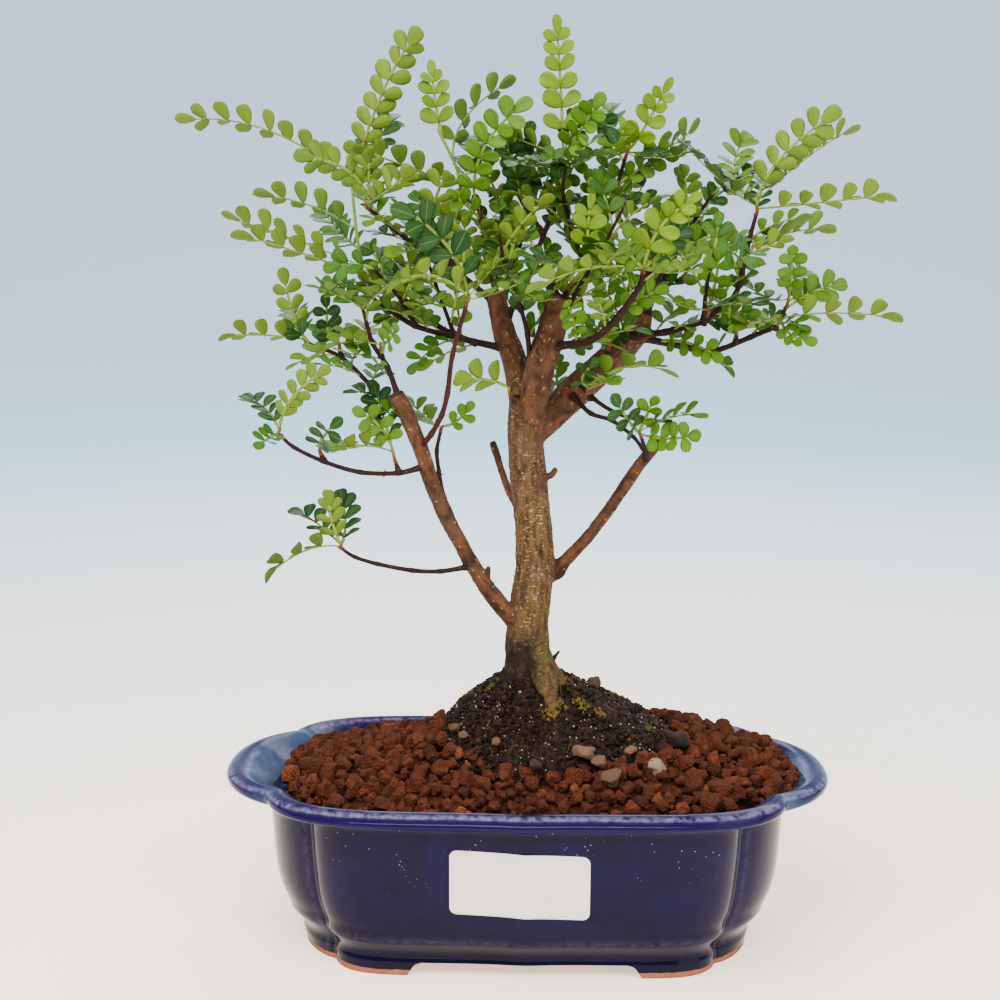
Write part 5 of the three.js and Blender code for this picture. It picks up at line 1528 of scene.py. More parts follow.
    def cuts(self) -> list[tuple[np.ndarray, np.ndarray, float]]:
        """Return the sawn ends: place, direction and radius."""
        result = []
        for index in self.sawn:
            before, end = np.array(LIMBS[index][-2:], float)
            result.append((end[:3], unit(end[:3] - before[:3]), end[3]))
        return result

    def thorn(self, shape: Shape, root: np.ndarray, way: np.ndarray, length: float) -> None:
        """Add a small flattened thorn, broad at its root."""
        side = unit(np.cross(way, [0.2, 0.4, 0.9]))
        up = np.cross(side, way)
        rings = []
        for share, width in ((-0.25, 0.34), (0.12, 0.26), (0.55, 0.13), (1.0, 0.03)):
            centre = root + way * length * share + up * 0.12 * length * share ** 2
            rings.append(hoop(centre, side, 1.5 * up, spin(6), width * length * 0.62))
        shape.add_rings(rings)

    def thorns(self, shape: Shape, limbs: Sequence[Limb]) -> None:
        """Add pairs of thorns at the nodes of the twigs."""
        chance = random.Random(self.seed)
        for limb in limbs:
            if limb.grown is not Grown.TWIG or limb.lengths[-1] < 8:
                continue
            ways, first, second = frames_along(limb.samples[:, :3])
            place_at = chance.uniform(3, 6)
            while place_at < limb.lengths[-1] - 1:
                index = int(np.searchsorted(limb.lengths, place_at))
                turn = chance.uniform(0, math.tau)
                for flip in (0, math.pi * 0.9) if limb.red or chance.random() < 0.35 else ():
                    out = first[index] * math.cos(turn + flip) + second[index] * math.sin(turn + flip)
                    root = limb.samples[index, :3] + out * limb.samples[index, 3] * 0.85
                    self.thorn(shape, root, unit(out + ways[index] * 0.5), chance.uniform(0.8, 1.4))
                place_at += chance.uniform(6, 10)

    def build(self) -> Piece:
        """Build the wood and return it."""
        limbs = self.limbs()
        fused = [limb for limb in limbs if limb.fused]
        mesh = self.skin(fused)
        values = self.dress_skin(mesh, fused)
        shape = Shape("age", "wound", "red", "wrap_x", "wrap_y", "wrap_z")
        shape.add(positions(mesh), [tuple(face.vertices) for face in mesh.polygons], **values)
        for number, limb in enumerate(limbs):
            if not limb.fused:
                limb.tube(shape, self.twig_sides, number + 20, age=limb.grown.value, red=limb.red)
        self.thorns(shape, limbs)
        return settle(shape.piece("wood_and_twigs", Bark().material()), "bark", "wood")


# The leaves

@dataclass(frozen=True)
class LeafPlan:
    """A compound leaf: where it leaves its stem, the middle of its rib, its tip and its face."""

    start: float
    middle: Point
    tip: Point
    face: Face
    tone: Tone
    leaflet: Optional[float] = None


@dataclass(frozen=True)
class Spray:
    """A leafy stem: its node's name, main tone, stem line, and a row of a plan's numbers for each leaf."""

    name: str
    tone: Tone
    stem: Sequence[Point]
    rows: Sequence[tuple]

    def leaves(self) -> list[LeafPlan]:
        """Return the plans of its leaves."""
        return [LeafPlan(row[0], row[1:4], row[4:7], *row[7:]) for row in self.rows]


@dataclass
class Leaflet:
    """The rounded, thin-shelled leaflet that all leaves are made of, 1 long."""

    rows: tuple = (0, 0.07, 0.21, 0.39, 0.57, 0.73, 0.87, 0.96, 1)
    columns: tuple = (-1, -0.55, 0, 0.55, 1)
    half_width: float = 0.345
    thickness: float = 0.03
    faces: list = field(init=False)
    along: np.ndarray = field(init=False)
    across: np.ndarray = field(init=False)

    def __post_init__(self) -> None:
        """Work out the grid's faces and each point's place on the leaflet."""
        rows, columns = len(self.rows), len(self.columns)
        half = rows * columns
        index = np.arange(half).reshape(rows, columns)
        faces = []
        for row in range(rows - 1):
            for column in range(columns - 1):
                a, b, c, d = (index[row, column], index[row, column + 1], index[row + 1, column + 1],
                              index[row + 1, column])
                faces += [(d, c, b, a), (a + half, b + half, c + half, d + half)]
        edge = [*index[0, :], *index[1:, -1], *index[-1, -2::-1], *index[-2:0:-1, 0]]
        for first, second in zip(edge, edge[1:] + edge[:1]):
            faces.append((first, second, second + half, first + half))
        self.faces = [tuple(int(corner) for corner in face) for face in faces]
        self.along, self.across = (part.ravel() for part in np.meshgrid(self.rows, self.columns, indexing="ij"))

    def points(self, fold: float, curl: float, wave: float) -> np.ndarray:
        """Return the leaflet's points, upper face first.

        Args:
            fold: How far its two halves rise from the midrib, as a share of its width.
            curl: How far its tip bends down, as a share of its length.
            wave: How far its margin waves.

        Returns:
            The points, with x along it, y across and z up.
        """
        u, v = self.along, self.across
        width = u ** 0.54 * np.sqrt(np.clip(1 - u ** 3.1, 0, 1)) / 0.68
        width = np.maximum(width, 0.05)
        level = fold * np.abs(v) ** 1.5 * width * self.half_width - curl * u ** 2
        level += wave * np.sin(u * 9 + v * 2) * np.abs(v)
        level += 0.02 * np.cos(u * math.pi) * (1 - np.abs(v))
        body = self.thickness * (1 - 0.75 * np.abs(v) ** 2) * np.clip(4 * (1 - u), 0.25, 1)
        top = np.column_stack([u, v * width * self.half_width, level + body])
        return np.concatenate([top, top - np.outer(2 * body, (0, 0, 1))])


@dataclass
class Foliage:
    """Builds the sprays: stems, ribs and leaflets, by one rule for the whole crown."""

    leaflet: Leaflet = field(default_factory=Leaflet)
    first_pair: float = 0.1
    longest: float = 7.4
    base_length: float = 3.2
    length_share: float = 0.12
    spacing: float = 0.77
    edge_spacing: float = 0.94
    tip_share: float = 0.42
    crown: tuple = (8, 4, 205)
    yellow: tuple = (-40.7, -20, 232.1)
    yellow_length: float = 6.4
    ends_shorter: float = 0.25
    lift: float = 25.0
    spread: float = 54.0
    last_leaf: float = 0.88
    rib_sides: int = 6
    stem_sides: int = 7
    # What the random numbers start from: for each spray, for the leaves in the crown and for their places
    spray_seed: int = 100
    crown_seed: int = 61
    fill_seed: int = 47
    names: tuple = ("shade", "ripe", "below", "across", "along", "stalk", "node")

    def twig_tips(self) -> list[tuple[np.ndarray, np.ndarray]]:
        """Return the end and direction of each limb and spur."""
        pairs = [(line[-2][:3], line[-1][:3]) for line in LIMBS] + list(SPURS)
        return [(np.array(tip, float), unit(np.array(tip, float) - np.array(root, float))) for root, tip in pairs]

    def stem_line(self, spray: Spray) -> np.ndarray:
        """Return the stem's points, from the tip of the twig that it grows on."""
        foot = np.array(spray.stem[0], float)
        tip, way = min(self.twig_tips(), key=lambda end: float(np.linalg.norm(end[0] - foot)))
        start = tip + way * 0.35
        return np.array([start, start + way * 0.8, *spray.stem[1:]], float)

    def along_line(self, line: np.ndarray, share: float) -> np.ndarray:
        """Return the point at a share of the stem's length past its first step."""
        lengths = lengths_along(line[1:])
        return point_at(line[1:], lengths, min(share, self.last_leaf) * lengths[-1])

    def add_leaflet(self, shape: Shape, chance: random.Random, root: np.ndarray, axes: np.ndarray, size: float,
                    tone: Tone, young: float) -> None:
        """Add one leaflet, a little turned and folded by chance.

        Args:
            shape: Where it goes.
            chance: The stream of random numbers.
            root: Its root.
            axes: Rows that give its length's, width's and upper face's directions.
            size: Its length in millimetres.
            tone: Its green.
            young: How much of the young green it has.
        """
        turn = Euler((math.radians(chance.gauss(0, 9)), math.radians(chance.gauss(0, 8)),
                      math.radians(chance.gauss(0, 5)))).to_matrix()
        local = self.leaflet.points(chance.uniform(0.1, 0.34), chance.uniform(0.0, 0.11), chance.uniform(0, 0.02))
        local = local * np.array([1, chance.uniform(0.9, 1.08), 1]) * size * chance.uniform(0.92, 1.06)
        points = root + (local @ np.array(turn).T) @ axes
        half = len(self.leaflet.along)
        below = np.concatenate([np.zeros(half), np.ones(half)])
        shape.add(points, self.leaflet.faces, below=below, across=np.tile(self.leaflet.across, 2),
                  along=np.tile(self.leaflet.along, 2), ripe=tone.value + chance.gauss(0, 0.035),
                  shade=min(1, max(0, young + chance.gauss(0, 0.16))))

    def add_leaf(self, shape: Shape, chance: random.Random, base: np.ndarray, plan: LeafPlan) -> None:
        """Add one compound leaf: a winged rib, its pairs of leaflets and the one at its tip."""
        middle, tip = np.array(plan.middle, float), np.array(plan.tip, float)
        bend = 2 * middle - 0.5 * (base + tip)
        face = np.array(plan.face.value, float)
        fine = np.linspace(0, 1, 65)[:, None]
        curve = (1 - fine) ** 2 * base + 2 * fine * (1 - fine) * bend + fine ** 2 * tip
        lengths = lengths_along(curve)
        reach = float(lengths[-1])
        ways = np.gradient(curve, lengths, axis=0)

        def frame_at(share: float) -> tuple[np.ndarray, ...]:
            """Return the rib's point, direction, upper side and width direction at a share."""
            way = unit(point_at(ways, lengths, share * reach))
            up = unit(face - way * float(face @ way))
            return point_at(curve, lengths, share * reach), way, up, np.cross(way, up)

        length = plan.leaflet or min(self.longest, self.base_length + self.length_share * reach)
        length *= 1.14 if plan.tone is LIME else 1.0
        tip_length = min(length, self.tip_share * reach)
        neck = 1 - tip_length * 0.92 / reach
        shrink = 0.5 if plan.tone is LIME else 0.0
        spacing = (self.edge_spacing if plan.face is EDGE else self.spacing) * length * (1 - 0.4 * shrink)
        pairs = max(1, round((neck - self.first_pair) * reach / spacing))
        young = chance.uniform(0.1, 0.6)
        lift, spread = math.radians(self.lift), math.radians(self.spread)
        steps_out = 1 - shrink * np.arange(pairs) / pairs
        shares = self.first_pair + (np.cumsum(steps_out) - steps_out / 2) / steps_out.sum() * (neck - self.first_pair)
        for share, taper in zip(shares, steps_out):
            point, way, up, across = frame_at(share)
            for sign in (1, -1):
                outward = across * sign * math.cos(lift) + up * math.sin(lift)
                along = outward * math.sin(spread) + way * math.cos(spread)
                forward = way * math.sin(spread) - outward * math.cos(spread)
                normal = -sign * np.cross(forward, along)
                size = length * (1 - self.ends_shorter * abs(share - 0.5)) * (0.2 + 0.8 * taper)
                axes = np.array([along, forward * sign, normal])
                self.add_leaflet(shape, chance, point + along * 0.3, axes, size, plan.tone, young)
        point, way, up, across = frame_at(neck)
        self.add_leaflet(shape, chance, point, np.array([way, -across * (1 - 0.5 * shrink), up]),
                         tip_length * (1 - 0.4 * shrink), plan.tone, young + 0.15)
        self.add_rib(shape, frame_at, neck, shares, plan.tone, young)

    def add_rib(self, shape: Shape, frame_at: Callable[[float], tuple], neck: float, shares: Sequence[float],
                tone: Tone, young: float) -> None:
        """Add the rib, winged between the pairs and reddish at each of them."""
        half = float(np.diff(shares).mean()) if len(shares) > 1 else 0.2
        stations = sorted({0.0, 0.05, neck, *shares, *[share + half * part for share in shares
                                                       for part in (-0.5, -0.12, 0.12)]})
        stations = [share for share in stations if share <= neck]
        rings, nodes = [], []
        for share in stations:
            point, _, up, across = frame_at(share)
            near = float(np.max(hill(np.array(shares) - share, 0.012)))
            width = 0.4 + (0.24 * (1 - near) if share > self.first_pair else 0.0)
            width *= 1 - 0.4 * share
            rings.append(hoop(point, across * width, up * 0.22, spin(self.rib_sides)))
            nodes.append(max(near, 0.75 * float(hill(share, 0.04))))
        shape.add_rings(rings, stalk=1.0, node=np.repeat(nodes, self.rib_sides), ripe=tone.value, shade=young)

    def add_stem(self, shape: Shape, line: np.ndarray, tone: Tone) -> None:
        """Add the stem, red-brown at its root and green at its tip."""
        radii = np.interp(np.linspace(0, 1, len(line)), [0, 1], [0.72, 0.5])
        samples = smooth_line(np.column_stack([line, radii]), 1.4)
        samples[0, :3] -= unit(samples[1, :3] - samples[0, :3]) * 1.0
        _, first, second = frames_along(samples[:, :3])
        rings = [hoop(row[:3], first[i], second[i], spin(self.stem_sides), row[3]) for i, row in enumerate(samples)]
        lengths = lengths_along(samples[:, :3])
        redness = 1 - smooth((lengths - 1.5) / max(6.0, lengths[-1] * 0.6))
        shape.add_rings(rings, stalk=1.0, node=np.repeat(redness, self.stem_sides), ripe=tone.value, shade=0.3)

    def fill_plans(self, chance: random.Random) -> list[tuple[np.ndarray, LeafPlan]]:
        """Return the short leaves that grow straight from the twigs inside the crown."""
        result = []
        for line in [*[LIMBS[index] for index in CROWN_TWIGS], *FINE_TWIGS]:
            samples = smooth_line(line, 1.0)[:, :3]
            lengths = lengths_along(samples)
            reach, side = chance.uniform(4, 8), chance.choice((-1, 1))
            while reach < lengths[-1]:
                index = int(np.searchsorted(lengths, reach))
                point = samples[index]
                way = unit(samples[index] - samples[index - 1])
                out = unit(point - self.crown)
                across = unit(np.cross(way, [chance.gauss(0, 0.5), chance.gauss(0, 0.5), 1]))
                heading = unit(side * across + 0.45 * way + 0.35 * out + np.array([0, chance.gauss(0, 0.35), 0.3]))
                length = chance.uniform(15, 27) * (0.72 if point[2] < 200 else 1)
                tip = point + heading * length + [0, 0, chance.uniform(-3, 1)]
                middle = (point + tip) / 2 + np.array([0, 0, length * chance.uniform(0.04, 0.14)])
                # Leaves further back are dark more often: painted shade deep in the crown.
                depth = float(smooth((tip[1] + 30) / 70))
                tones = (DARK, MID) if chance.random() < 0.25 + 0.4 * depth else (LIGHT, MID)
                face = chance.choice((UP, UP, FRONT, EDGE))
                leaflet = chance.uniform(5.0, 6.8)
                result.append((point, LeafPlan(0, tuple(middle), tuple(tip), face, chance.choice(tones), leaflet)))
                side = -side
                reach += chance.uniform(5, 9)
        return result

    def build(self) -> None:
        """Build every spray in place of its solid, and the leaves inside the crown."""
        material = Leaves().material()
        for number, spray in enumerate(SPRAYS):
            chance = random.Random(self.spray_seed + number)
            shape = Shape(*self.names)
            line = self.stem_line(spray)
            self.add_stem(shape, line, spray.tone)
            for plan in spray.leaves():
                self.add_leaf(shape, chance, self.along_line(line, plan.start), plan)
            piece = shape.piece(spray.name.replace("_stem", "_spray"), material)
            settle(piece, "leaf_" + spray.tone.name.lower(), spray.name)
        chance = random.Random(self.crown_seed)
        for name, back in (("crown_leaves_front", False), ("crown_leaves_back", True)):
            shape = Shape(*self.names)
            for base, plan in self.fill_plans(random.Random(self.fill_seed)):
                if bool(plan.tip[1] > 0) == back:
                    self.add_leaf(shape, chance, base, plan)
            if not back:
                axes = np.array([(-1, 0, 0.1), (0.1, 0, 1), (0, -1, 0)])
                self.add_leaflet(shape, chance, np.array(self.yellow), axes, self.yellow_length, LIME, 1.0)
            settle(shape.piece(name, material), "leaf_mid")


# The leafy stems: a leaf's row has its start, the middle of its rib, its tip, face and tone, and its leaflets' length
SPRAYS = (
    Spray("far_left_stem", PALE, ((-53, -4, 217), (-56, 0, 228), (-58, 4, 240), (-60, 8, 259)), (
        (0.14, -76, -6, 231, -96, -12, 237, EDGE, PALE), (0.22, -81, 14, 235, -105, 24, 242, EDGE, PALE),
        (0.5, -74, 8, 246, -92, 8, 249, EDGE, MID), (1, -90, 14, 271, -119, 16, 273, EDGE, PALE),
        (1, -48, 6, 285, -36, 0, 302, UNDER, LIGHT), (0.8, -52, 28, 268, -47, 42, 277, FRONT, DARK),
        (0.35, -66, 30, 237, -75, 50, 245, FRONT, MID))),
    Spray("left_top_stem", MID, ((-52, -14, 245), (-53, -15, 248)), (
        (1, -58, -20, 257, -74, -26, 262, UNDER, MID), (1, -46, -8, 252, -35, -4, 255, EDGE, MID),
        (0.5, -45, -30, 251, -36, -44, 258, EDGE, LIGHT))),
    Spray("upper_stem", MID, ((-17, 6, 243), (-23, 5, 251), (-25, 4, 259), (-31, 2, 271)), (
        (1, -32, 2, 282, -33, 2, 294, FRONT, LIME), (0.36, -36, 0, 257, -58, -6, 265, EDGE, MID),
        (0.62, -22, 12, 275, -6, 22, 288, EDGE, MID), (0.06, -16, -2, 264, -1, -8, 280, FRONT, LIGHT),
        (0.4, -21, 30, 261, -19, 54, 272, FRONT, DARK))),
    Spray("crown_stem", DARK, ((9, 2, 255), (10, 2, 261), (10, 2, 264)), (
        (1, 9, 1, 285, 7, 0, 309, FRONT, LIME, 7.6), (0.8, 0, 9, 266, -10, 16, 270, EDGE, MID),
        (0.2, -3, 12, 253, -14, 22, 248, UP, DARK), (0.9, 18, 5, 275, 27, 6, 267, FRONT, DARK),
        (0.8, 17, -8, 273, 22, -14, 282, FRONT, LIGHT), (0.4, 15, -20, 260, 22, -36, 264, UP, DARK),
        (0.4, 0, -18, 259, -8, -34, 261, UP, DARK))),
    Spray("lime_stem", LIME, ((31, 18, 262), (32, 18, 265)), (
        (0.6, 37, 14, 272, 46, 10, 289, FRONT, LIME), (0.8, 30, 13, 269, 30, 12, 276, FRONT, LIME),
        (0.5, 46, 28, 266, 57, 38, 275, EDGE, MID), (0.3, 42, 8, 262, 54, 0, 265, UP, DARK),
        (0.8, 28, 40, 272, 26, 60, 281, FRONT, MID))),
    Spray("right_top_stem", LIGHT, ((73, -2, 244), (73, -2, 249)), (
        (1, 81, -4, 263, 98, -8, 277, UNDER, LIGHT), (0.9, 93, 14, 264, 109, 26, 273, EDGE, PALE),
        (0.2, 92, -10, 248, 115, -20, 251, EDGE, LIGHT), (0.4, 61, -14, 254, 46, -22, 268, UP, DARK),
        (0.8, 68, 22, 258, 74, 40, 272, FRONT, LIGHT))),
    Spray("right_inner_stem", MID, ((71, -4, 232), (72, -7, 235)), (
        (1, 85, 6, 238, 101, 14, 240, EDGE, MID), (0.5, 80, 22, 234, 86, 42, 237, UP, PALE),
        (0.5, 66, -26, 231, 58, -46, 237, FRONT, MID))),
    Spray("right_low_stem", MID, ((85, 11, 213), (86, 11, 217)), (
        (1, 86, 6, 224, 85, -2, 235, FRONT, LIGHT), (0.4, 93, 16, 218, 99, 22, 219, FRONT, MID),
        (0.7, 79, 18, 216, 72, 24, 222, UP, MID), (0.5, 91, 38, 220, 98, 58, 226, FRONT, MID))),
    Spray("right_long_stem", PALE, ((82, 9, 208), (83, 6, 210)), (
        (1, 100, 2, 212, 121, -6, 211, EDGE, PALE), (0.6, 87, 2, 204, 93, -4, 204, FRONT, LIGHT),
        (0.4, 74, -4, 209, 66, -14, 208, UP, PALE))),
    Spray("right_small_stem", LIGHT, ((69, 13, 204), (69, 11, 207)), (
        (1, 68, 7, 209, 66, 3, 215, FRONT, LIGHT), (0.6, 74, 38, 204, 79, 58, 206, UP, MID))),
    Spray("right_arm_stem", PALE, ((58, 0, 211), (58, -2, 214)), (
        (0.6, 51, -6, 214, 42, -12, 218, UP, PALE), (0.6, 64, -18, 216, 75, -30, 216, UP, DARK),
        (1, 60, -8, 224, 60, -14, 234, FRONT, LIGHT))),
    Spray("front_lime_stem", LIGHT, ((35, -33, 226), (35, -34, 228)), (
        (1, 41, -38, 242, 54, -42, 251, FRONT, LIME, 7.5), (0.8, 30, -40, 234, 31, -44, 241, FRONT, LIGHT),
        (0.5, 17, -46, 228, -1, -54, 221, EDGE, LIGHT), (0.5, 43, -46, 227, 51, -56, 229, UP, LIGHT),
        (0.8, 43, -26, 235, 49, -20, 243, FRONT, DARK))),
    Spray("front_bright_stem", LIME, ((12, -14, 220), (17, -19, 227), (18, -20, 231)), (
        (1, 18, -20, 240, 19, -18, 252, FRONT, LIME, 6.6), (0.5, 6, -32, 229, -3, -46, 230, UP, DARK),
        (0.7, 23, -40, 230, 26, -60, 234, UP, MID))),
    Spray("bud_stem", DARK, ((22, 12, 243), (21, 11, 247)), (
        (1, 22, 10, 252, 20, 8, 259, FRONT, LIME), (0.5, 14, -2, 247, 4, -12, 246, UP, DARK),
        (0.7, 36, 14, 247, 45, 12, 250, UP, DARK), (0.5, 22, 40, 244, 20, 62, 246, UP, MID))),
    Spray("red_twig_stem", LIGHT, ((-20, -36, 216), (-19, -37, 219)), (
        (1, -26, -44, 235, -41, -52, 247, FRONT, DARK, 8.5), (0.7, -31, -50, 226, -43, -62, 221, EDGE, LIGHT),
        (0.8, -14, -42, 225, -8, -48, 232, UP, LIGHT), (0.4, -9, -44, 221, 3, -50, 227, UP, MID))),
    Spray("fork_leaf_stem", PALE, ((-6, -8, 185), (-7, -11, 188)), (
        (1, -14, -18, 191, -24, -26, 191.5, UNDER, LIGHT, 8),)),
    Spray("left_mid_stem", LIGHT, ((-78, -39, 175), (-78, -39, 177)), (
        (1, -74, -42, 187, -62, -46, 197, UNDER, LIGHT, 5.5), (0.7, -85, -28, 183, -93, -20, 184, UP, DARK),
        (0.4, -81, -48, 175, -83, -56, 174, FRONT, MID))),
    Spray("left_mid_small_stem", DARK, ((-66, -33, 168.5), (-66, -34, 171)), (
        (1, -65, -40, 174, -59, -48, 181, FRONT, DARK), (0.5, -63, -22, 168, -58, -10, 169, UP, LIGHT))),
    Spray("left_mid_inner_stem", LIGHT, ((-43, -23, 164.5), (-44, -24, 169)), (
        (1, -48, -32, 178, -56, -38, 183, FRONT, LIGHT), (1, -48, -12, 179, -52, -4, 188, FRONT, DARK),
        (0.7, -52, -32, 171, -62, -41, 170, EDGE, PALE))),
    Spray("back_left_stem", LIGHT, ((-76, 22, 199), (-78, 23, 201)), (
        (1, -82, 24, 211, -85, 26, 224, UNDER, LIGHT), (0.6, -91, 18, 202, -106, 14, 202, EDGE, PALE),
        (0.6, -82, 45, 205, -87, 64, 208, FRONT, MID))),
    Spray("back_left_inner_stem", DARK, ((-64.5, 15, 197.5), (-65, 16, 200)), (
        (1, -68, 12, 204, -68, 8, 217, FRONT, DARK), (0.6, -71, 8, 197, -81, 2, 192, UP, LIGHT),
        (0.6, -60, 38, 200, -59, 58, 204, FRONT, PALE))),
    Spray("left_tip_stem", MID, ((-54, -10, 211), (-55, -11, 214)), (
        (0.8, -61, -24, 218, -70, -34, 222, UP, MID), (0.6, -48, -24, 219, -42, -36, 225, UP, MID),
        (1, -62, 0, 218, -69, 8, 222, FRONT, MID))),
    Spray("left_tip_inner_stem", PALE, ((-48, -18.5, 200), (-48, -20, 203)), (
        (0.6, -59, -20, 203, -68, -18, 200, UP, PALE), (1, -45, -26, 204, -41, -34, 210, FRONT, LIGHT))),
    Spray("arm_b_stem", MID, ((-45, 18, 217), (-47, 19, 219)), (
        (1, -52, 24, 227, -58, 32, 233, FRONT, MID), (0.7, -42, 28, 227, -36, 38, 234, FRONT, DARK),
        (0.6, -52, 42, 219, -56, 62, 222, UP, MID))),
    Spray("arm_a_stem", MID, ((-39, -4, 209.5), (-40, -6, 212)), (
        (1, -39, -10, 217, -41, -14, 223, FRONT, MID), (0.7, -33, -18, 215, -28, -28, 215, UP, LIGHT))),
    Spray("low_left_stem", DARK, ((-60, -28, 137), (-60, -28, 138)), (
        (1, -63, -32, 148, -63, -36, 157, UNDER, LIGHT), (0.9, -69, -20, 144, -78, -12, 147, UP, DARK),
        (0.6, -60, -16, 144, -63, -6, 153, FRONT, DARK), (0.4, -72, -34, 137, -84, -42, 129, EDGE, DARK))),
    Spray("fork_twig_stem", LIGHT, ((-30, 6, 171), (-29, 6, 173)), (
        (1, -24, 6, 175, -19, 6, 181, FRONT, LIGHT), (0.6, -35, 16, 174, -43, 26, 181, UP, PALE))),
    Spray("right_low_end_stem", LIGHT, ((36, -20, 173), (35, -21, 175)), (
        (1, 38, -24, 182, 40, -26, 188, FRONT, LIGHT), (0.8, 46, -30, 181, 55, -38, 182, UP, MID),
        (0.6, 31, -28, 180, 26, -34, 188, FRONT, DARK), (0.3, 45, -30, 174, 54, -38, 177, FRONT, LIGHT))),
    Spray("bough_stem", DARK, ((19, -9.5, 186), (19, -12, 189)), (
        (0.7, 17, -16, 192, 22, -20, 198, FRONT, DARK), (1, 33, -20, 196, 47, -26, 193, EDGE, MID),
        (0.4, 24, -26, 191, 27, -36, 191, UP, LIGHT))),
    Spray("bough_top_stem", DARK, ((26, 3.5, 199.5), (26, 1, 203)), (
        (1, 28, -8, 205, 33, -12, 210, FRONT, DARK), (0.6, 22, -8, 207, 17, -10, 211, FRONT, MID))),
    Spray("bough_back_stem", LIGHT, ((10, 15, 182), (10, 18, 184)), (
        (1, 9, 24, 188, 10, 30, 195, FRONT, LIGHT), (0.6, 2, 28, 182, -6, 38, 179, UP, PALE))),
    Spray("leader_stem", MID, ((15.5, -0.5, 217.5), (17, -1.5, 215)), (
        (1, 17, -2, 207, 16, -1, 197, FRONT, MID),)),
    Spray("inner_crown_stem", DARK, ((-6, 3, 230), (-6, 2, 233)), (
        (0.6, -11, -6, 232, -18, -13, 231, UP, DARK), (0.3, -3, -9, 236, 2, -18, 239, UP, DARK),
        (1, -8, 26, 237, -7, 48, 243, FRONT, DARK))),
    Spray("back_right_stem", MID, ((55, 38, 233), (56, 40, 235)), (
        (1, 60, 44, 244, 64, 50, 253, FRONT, MID), (0.7, 49, 46, 240, 43, 54, 247, FRONT, MID),
        (0.5, 64, 48, 232, 73, 58, 232, UP, MID), (0.8, 57, 56, 237, 57, 74, 238, UP, DARK))),
    Spray("back_bough_stem", MID, ((41, 26, 222), (40, 28, 224)), (
        (1, 37, 34, 228, 32, 44, 233, FRONT, MID), (0.6, 45, 44, 227, 48, 66, 231, UP, MID))),
    Spray("left_back_stem", MID, ((-14.5, 10.5, 229), (-15, 14, 231)), (
        (1, -20, 30, 232, -25, 54, 235, UP, MID), (0.5, -9, 28, 229, -4, 48, 232, UP, DARK))),
    Spray("left_inner_stem", DARK, ((-30, -2.5, 230.5), (-30, -3.5, 233)), (
        (0.8, -34, -20, 236, -36, -32, 241, FRONT, DARK), (1, -29, 12, 235, -30, 26, 243, FRONT, MID))),
    Spray("thin_twig_stem", DARK, ((-5, -16, 217), (-5, -18, 219)), (
        (1, -8, -28, 224, -6, -38, 230, FRONT, DARK), (0.5, 2, -28, 217, 8, -38, 219, UP, MID))),
)


# Studio

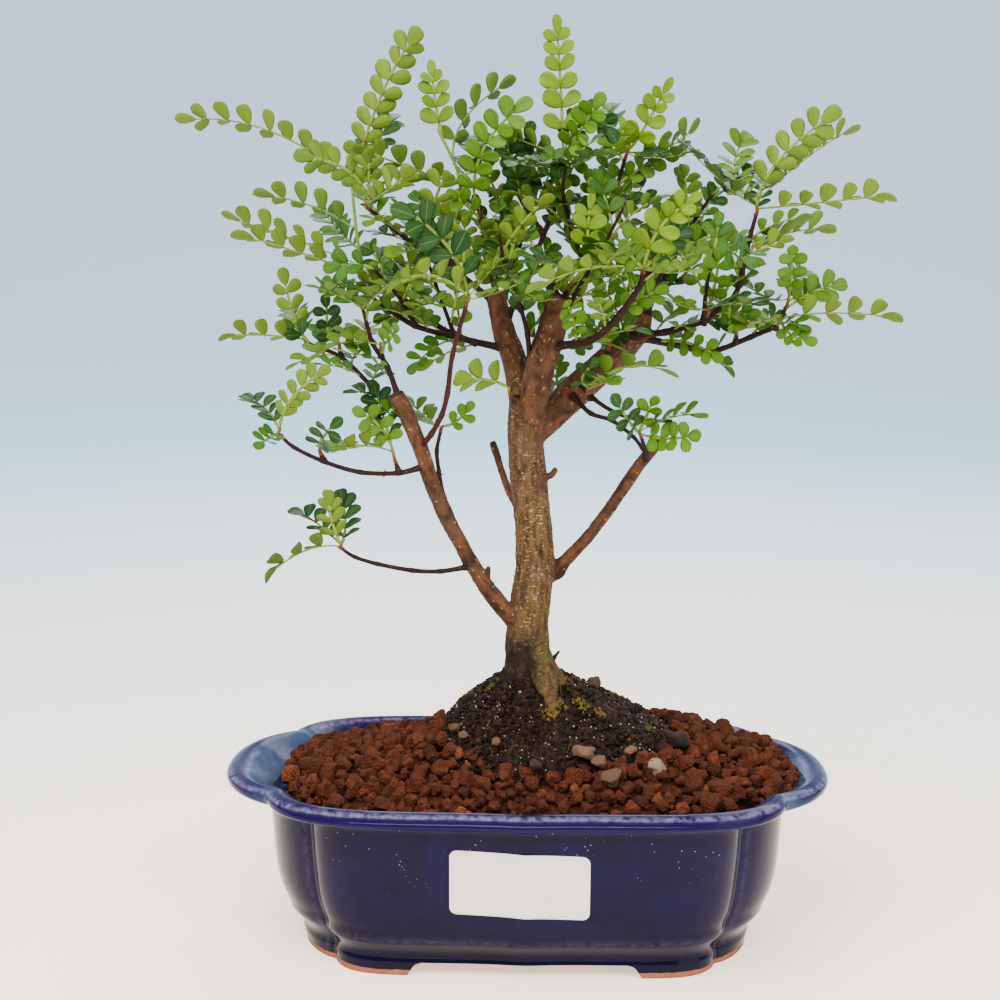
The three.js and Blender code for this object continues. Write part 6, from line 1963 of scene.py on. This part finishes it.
@dataclass
class Studio:
    """A pale sweep, soft lights and the camera."""

    lens: float = 72.0
    sensor: float = 36.0
    eye: tuple = (2.7, -660.0, 255.0)
    yaw: float = -1.08
    pitch: float = 9.13
    roll: float = 0.37
    world: Colour = srgb(236, 238, 242)
    world_strength: float = 0.45
    half_width: float = 2.4
    # Name, place, size in metres, watts and colour
    lamps: tuple = (
        ("key", (-350, -420, 900), (0.9, 0.7), 17.0, (1.0, 0.96, 0.9)),
        ("fill", (650, -500, 500), (0.7, 0.9), 5.0, (1.0, 0.98, 0.95)),
        ("back", (200, 700, 800), (1.0, 0.5), 8.0, (1.0, 0.98, 0.96)),
        ("strip", (80, -760, 640), (1.3, 0.1), 9.0, (1.0, 0.97, 0.94)))

    def sweep(self) -> Piece:
        """Return the floor that curves up into the backdrop."""
        profile = [(-1.6, 0.0), (0.2, 0.0), (0.75, 0.0), (1.2, 0.01), (1.5, 0.06), (1.75, 0.18), (1.9, 0.4),
                   (1.97, 0.8), (2.0, 2.4)]
        points = [(side * self.half_width, y, z) for y, z in profile for side in (-1, 1)]
        faces = [(2 * i, 2 * i + 1, 2 * i + 3, 2 * i + 2) for i in range(len(profile) - 1)]
        mesh = bpy.data.meshes.new("studio_sweep")
        mesh.from_pydata([tuple(np.array(point) + SHIFT) for point in points], [], faces)
        mesh.update()
        piece = make_piece("studio_sweep", mesh, StudioFloor().material())
        return piece

    def lamp(self, name: str, at: Sequence[float], size: tuple[float, float], watts: float, colour: Colour) -> None:
        """Add a soft area light, aimed at the middle of the plant."""
        data = bpy.data.lights.new(name, "AREA")
        data.shape = "RECTANGLE"
        data.size, data.size_y = size
        data.energy = watts
        data.color = colour
        lamp = in_scene(name, data)
        lamp.location = place(at)
        aim = Vector(place((0, 0, 130))) - lamp.location
        lamp.rotation_euler = aim.to_track_quat("-Z", "Y").to_euler()

    def camera(self) -> None:
        """Place the camera."""
        data = bpy.data.cameras.new("camera")
        data.lens, data.sensor_width = self.lens, self.sensor
        data.clip_start, data.clip_end = 0.01, 20.0
        camera = in_scene("camera", data)
        turn = Euler((math.radians(90 - self.pitch), 0, math.radians(-self.yaw)), "XYZ").to_matrix()
        turn = turn @ Matrix.Rotation(math.radians(self.roll), 3, "Z")
        camera.matrix_world = Matrix.Translation(place(self.eye)) @ turn.to_4x4()
        bpy.context.scene.camera = camera

    def build(self) -> None:
        """Build the sweep, the lights and the camera."""
        self.camera()
        self.sweep()
        world = bpy.data.worlds.new("studio")
        world.use_nodes = True
        background = world.node_tree.nodes["Background"]
        background.inputs["Color"].default_value = (*self.world, 1.0)
        background.inputs["Strength"].default_value = self.world_strength
        bpy.context.scene.world = world
        for lamp in self.lamps:
            self.lamp(*lamp)
        LOG.info("studio: sweep, %d lights and camera", len(self.lamps))


def main() -> None:
    """Build the studio and every sub-assembly in order."""
    logging.basicConfig(level=logging.INFO, format="%(name)s: %(message)s")
    Studio().build()
    Pot().build()
    DrainMeshes().build()
    Label().build()
    GravelBed().build()
    RootBall().build()
    Litter().build()
    Wood().build()
    Foliage().build()


if __name__ == "__main__":
    main()
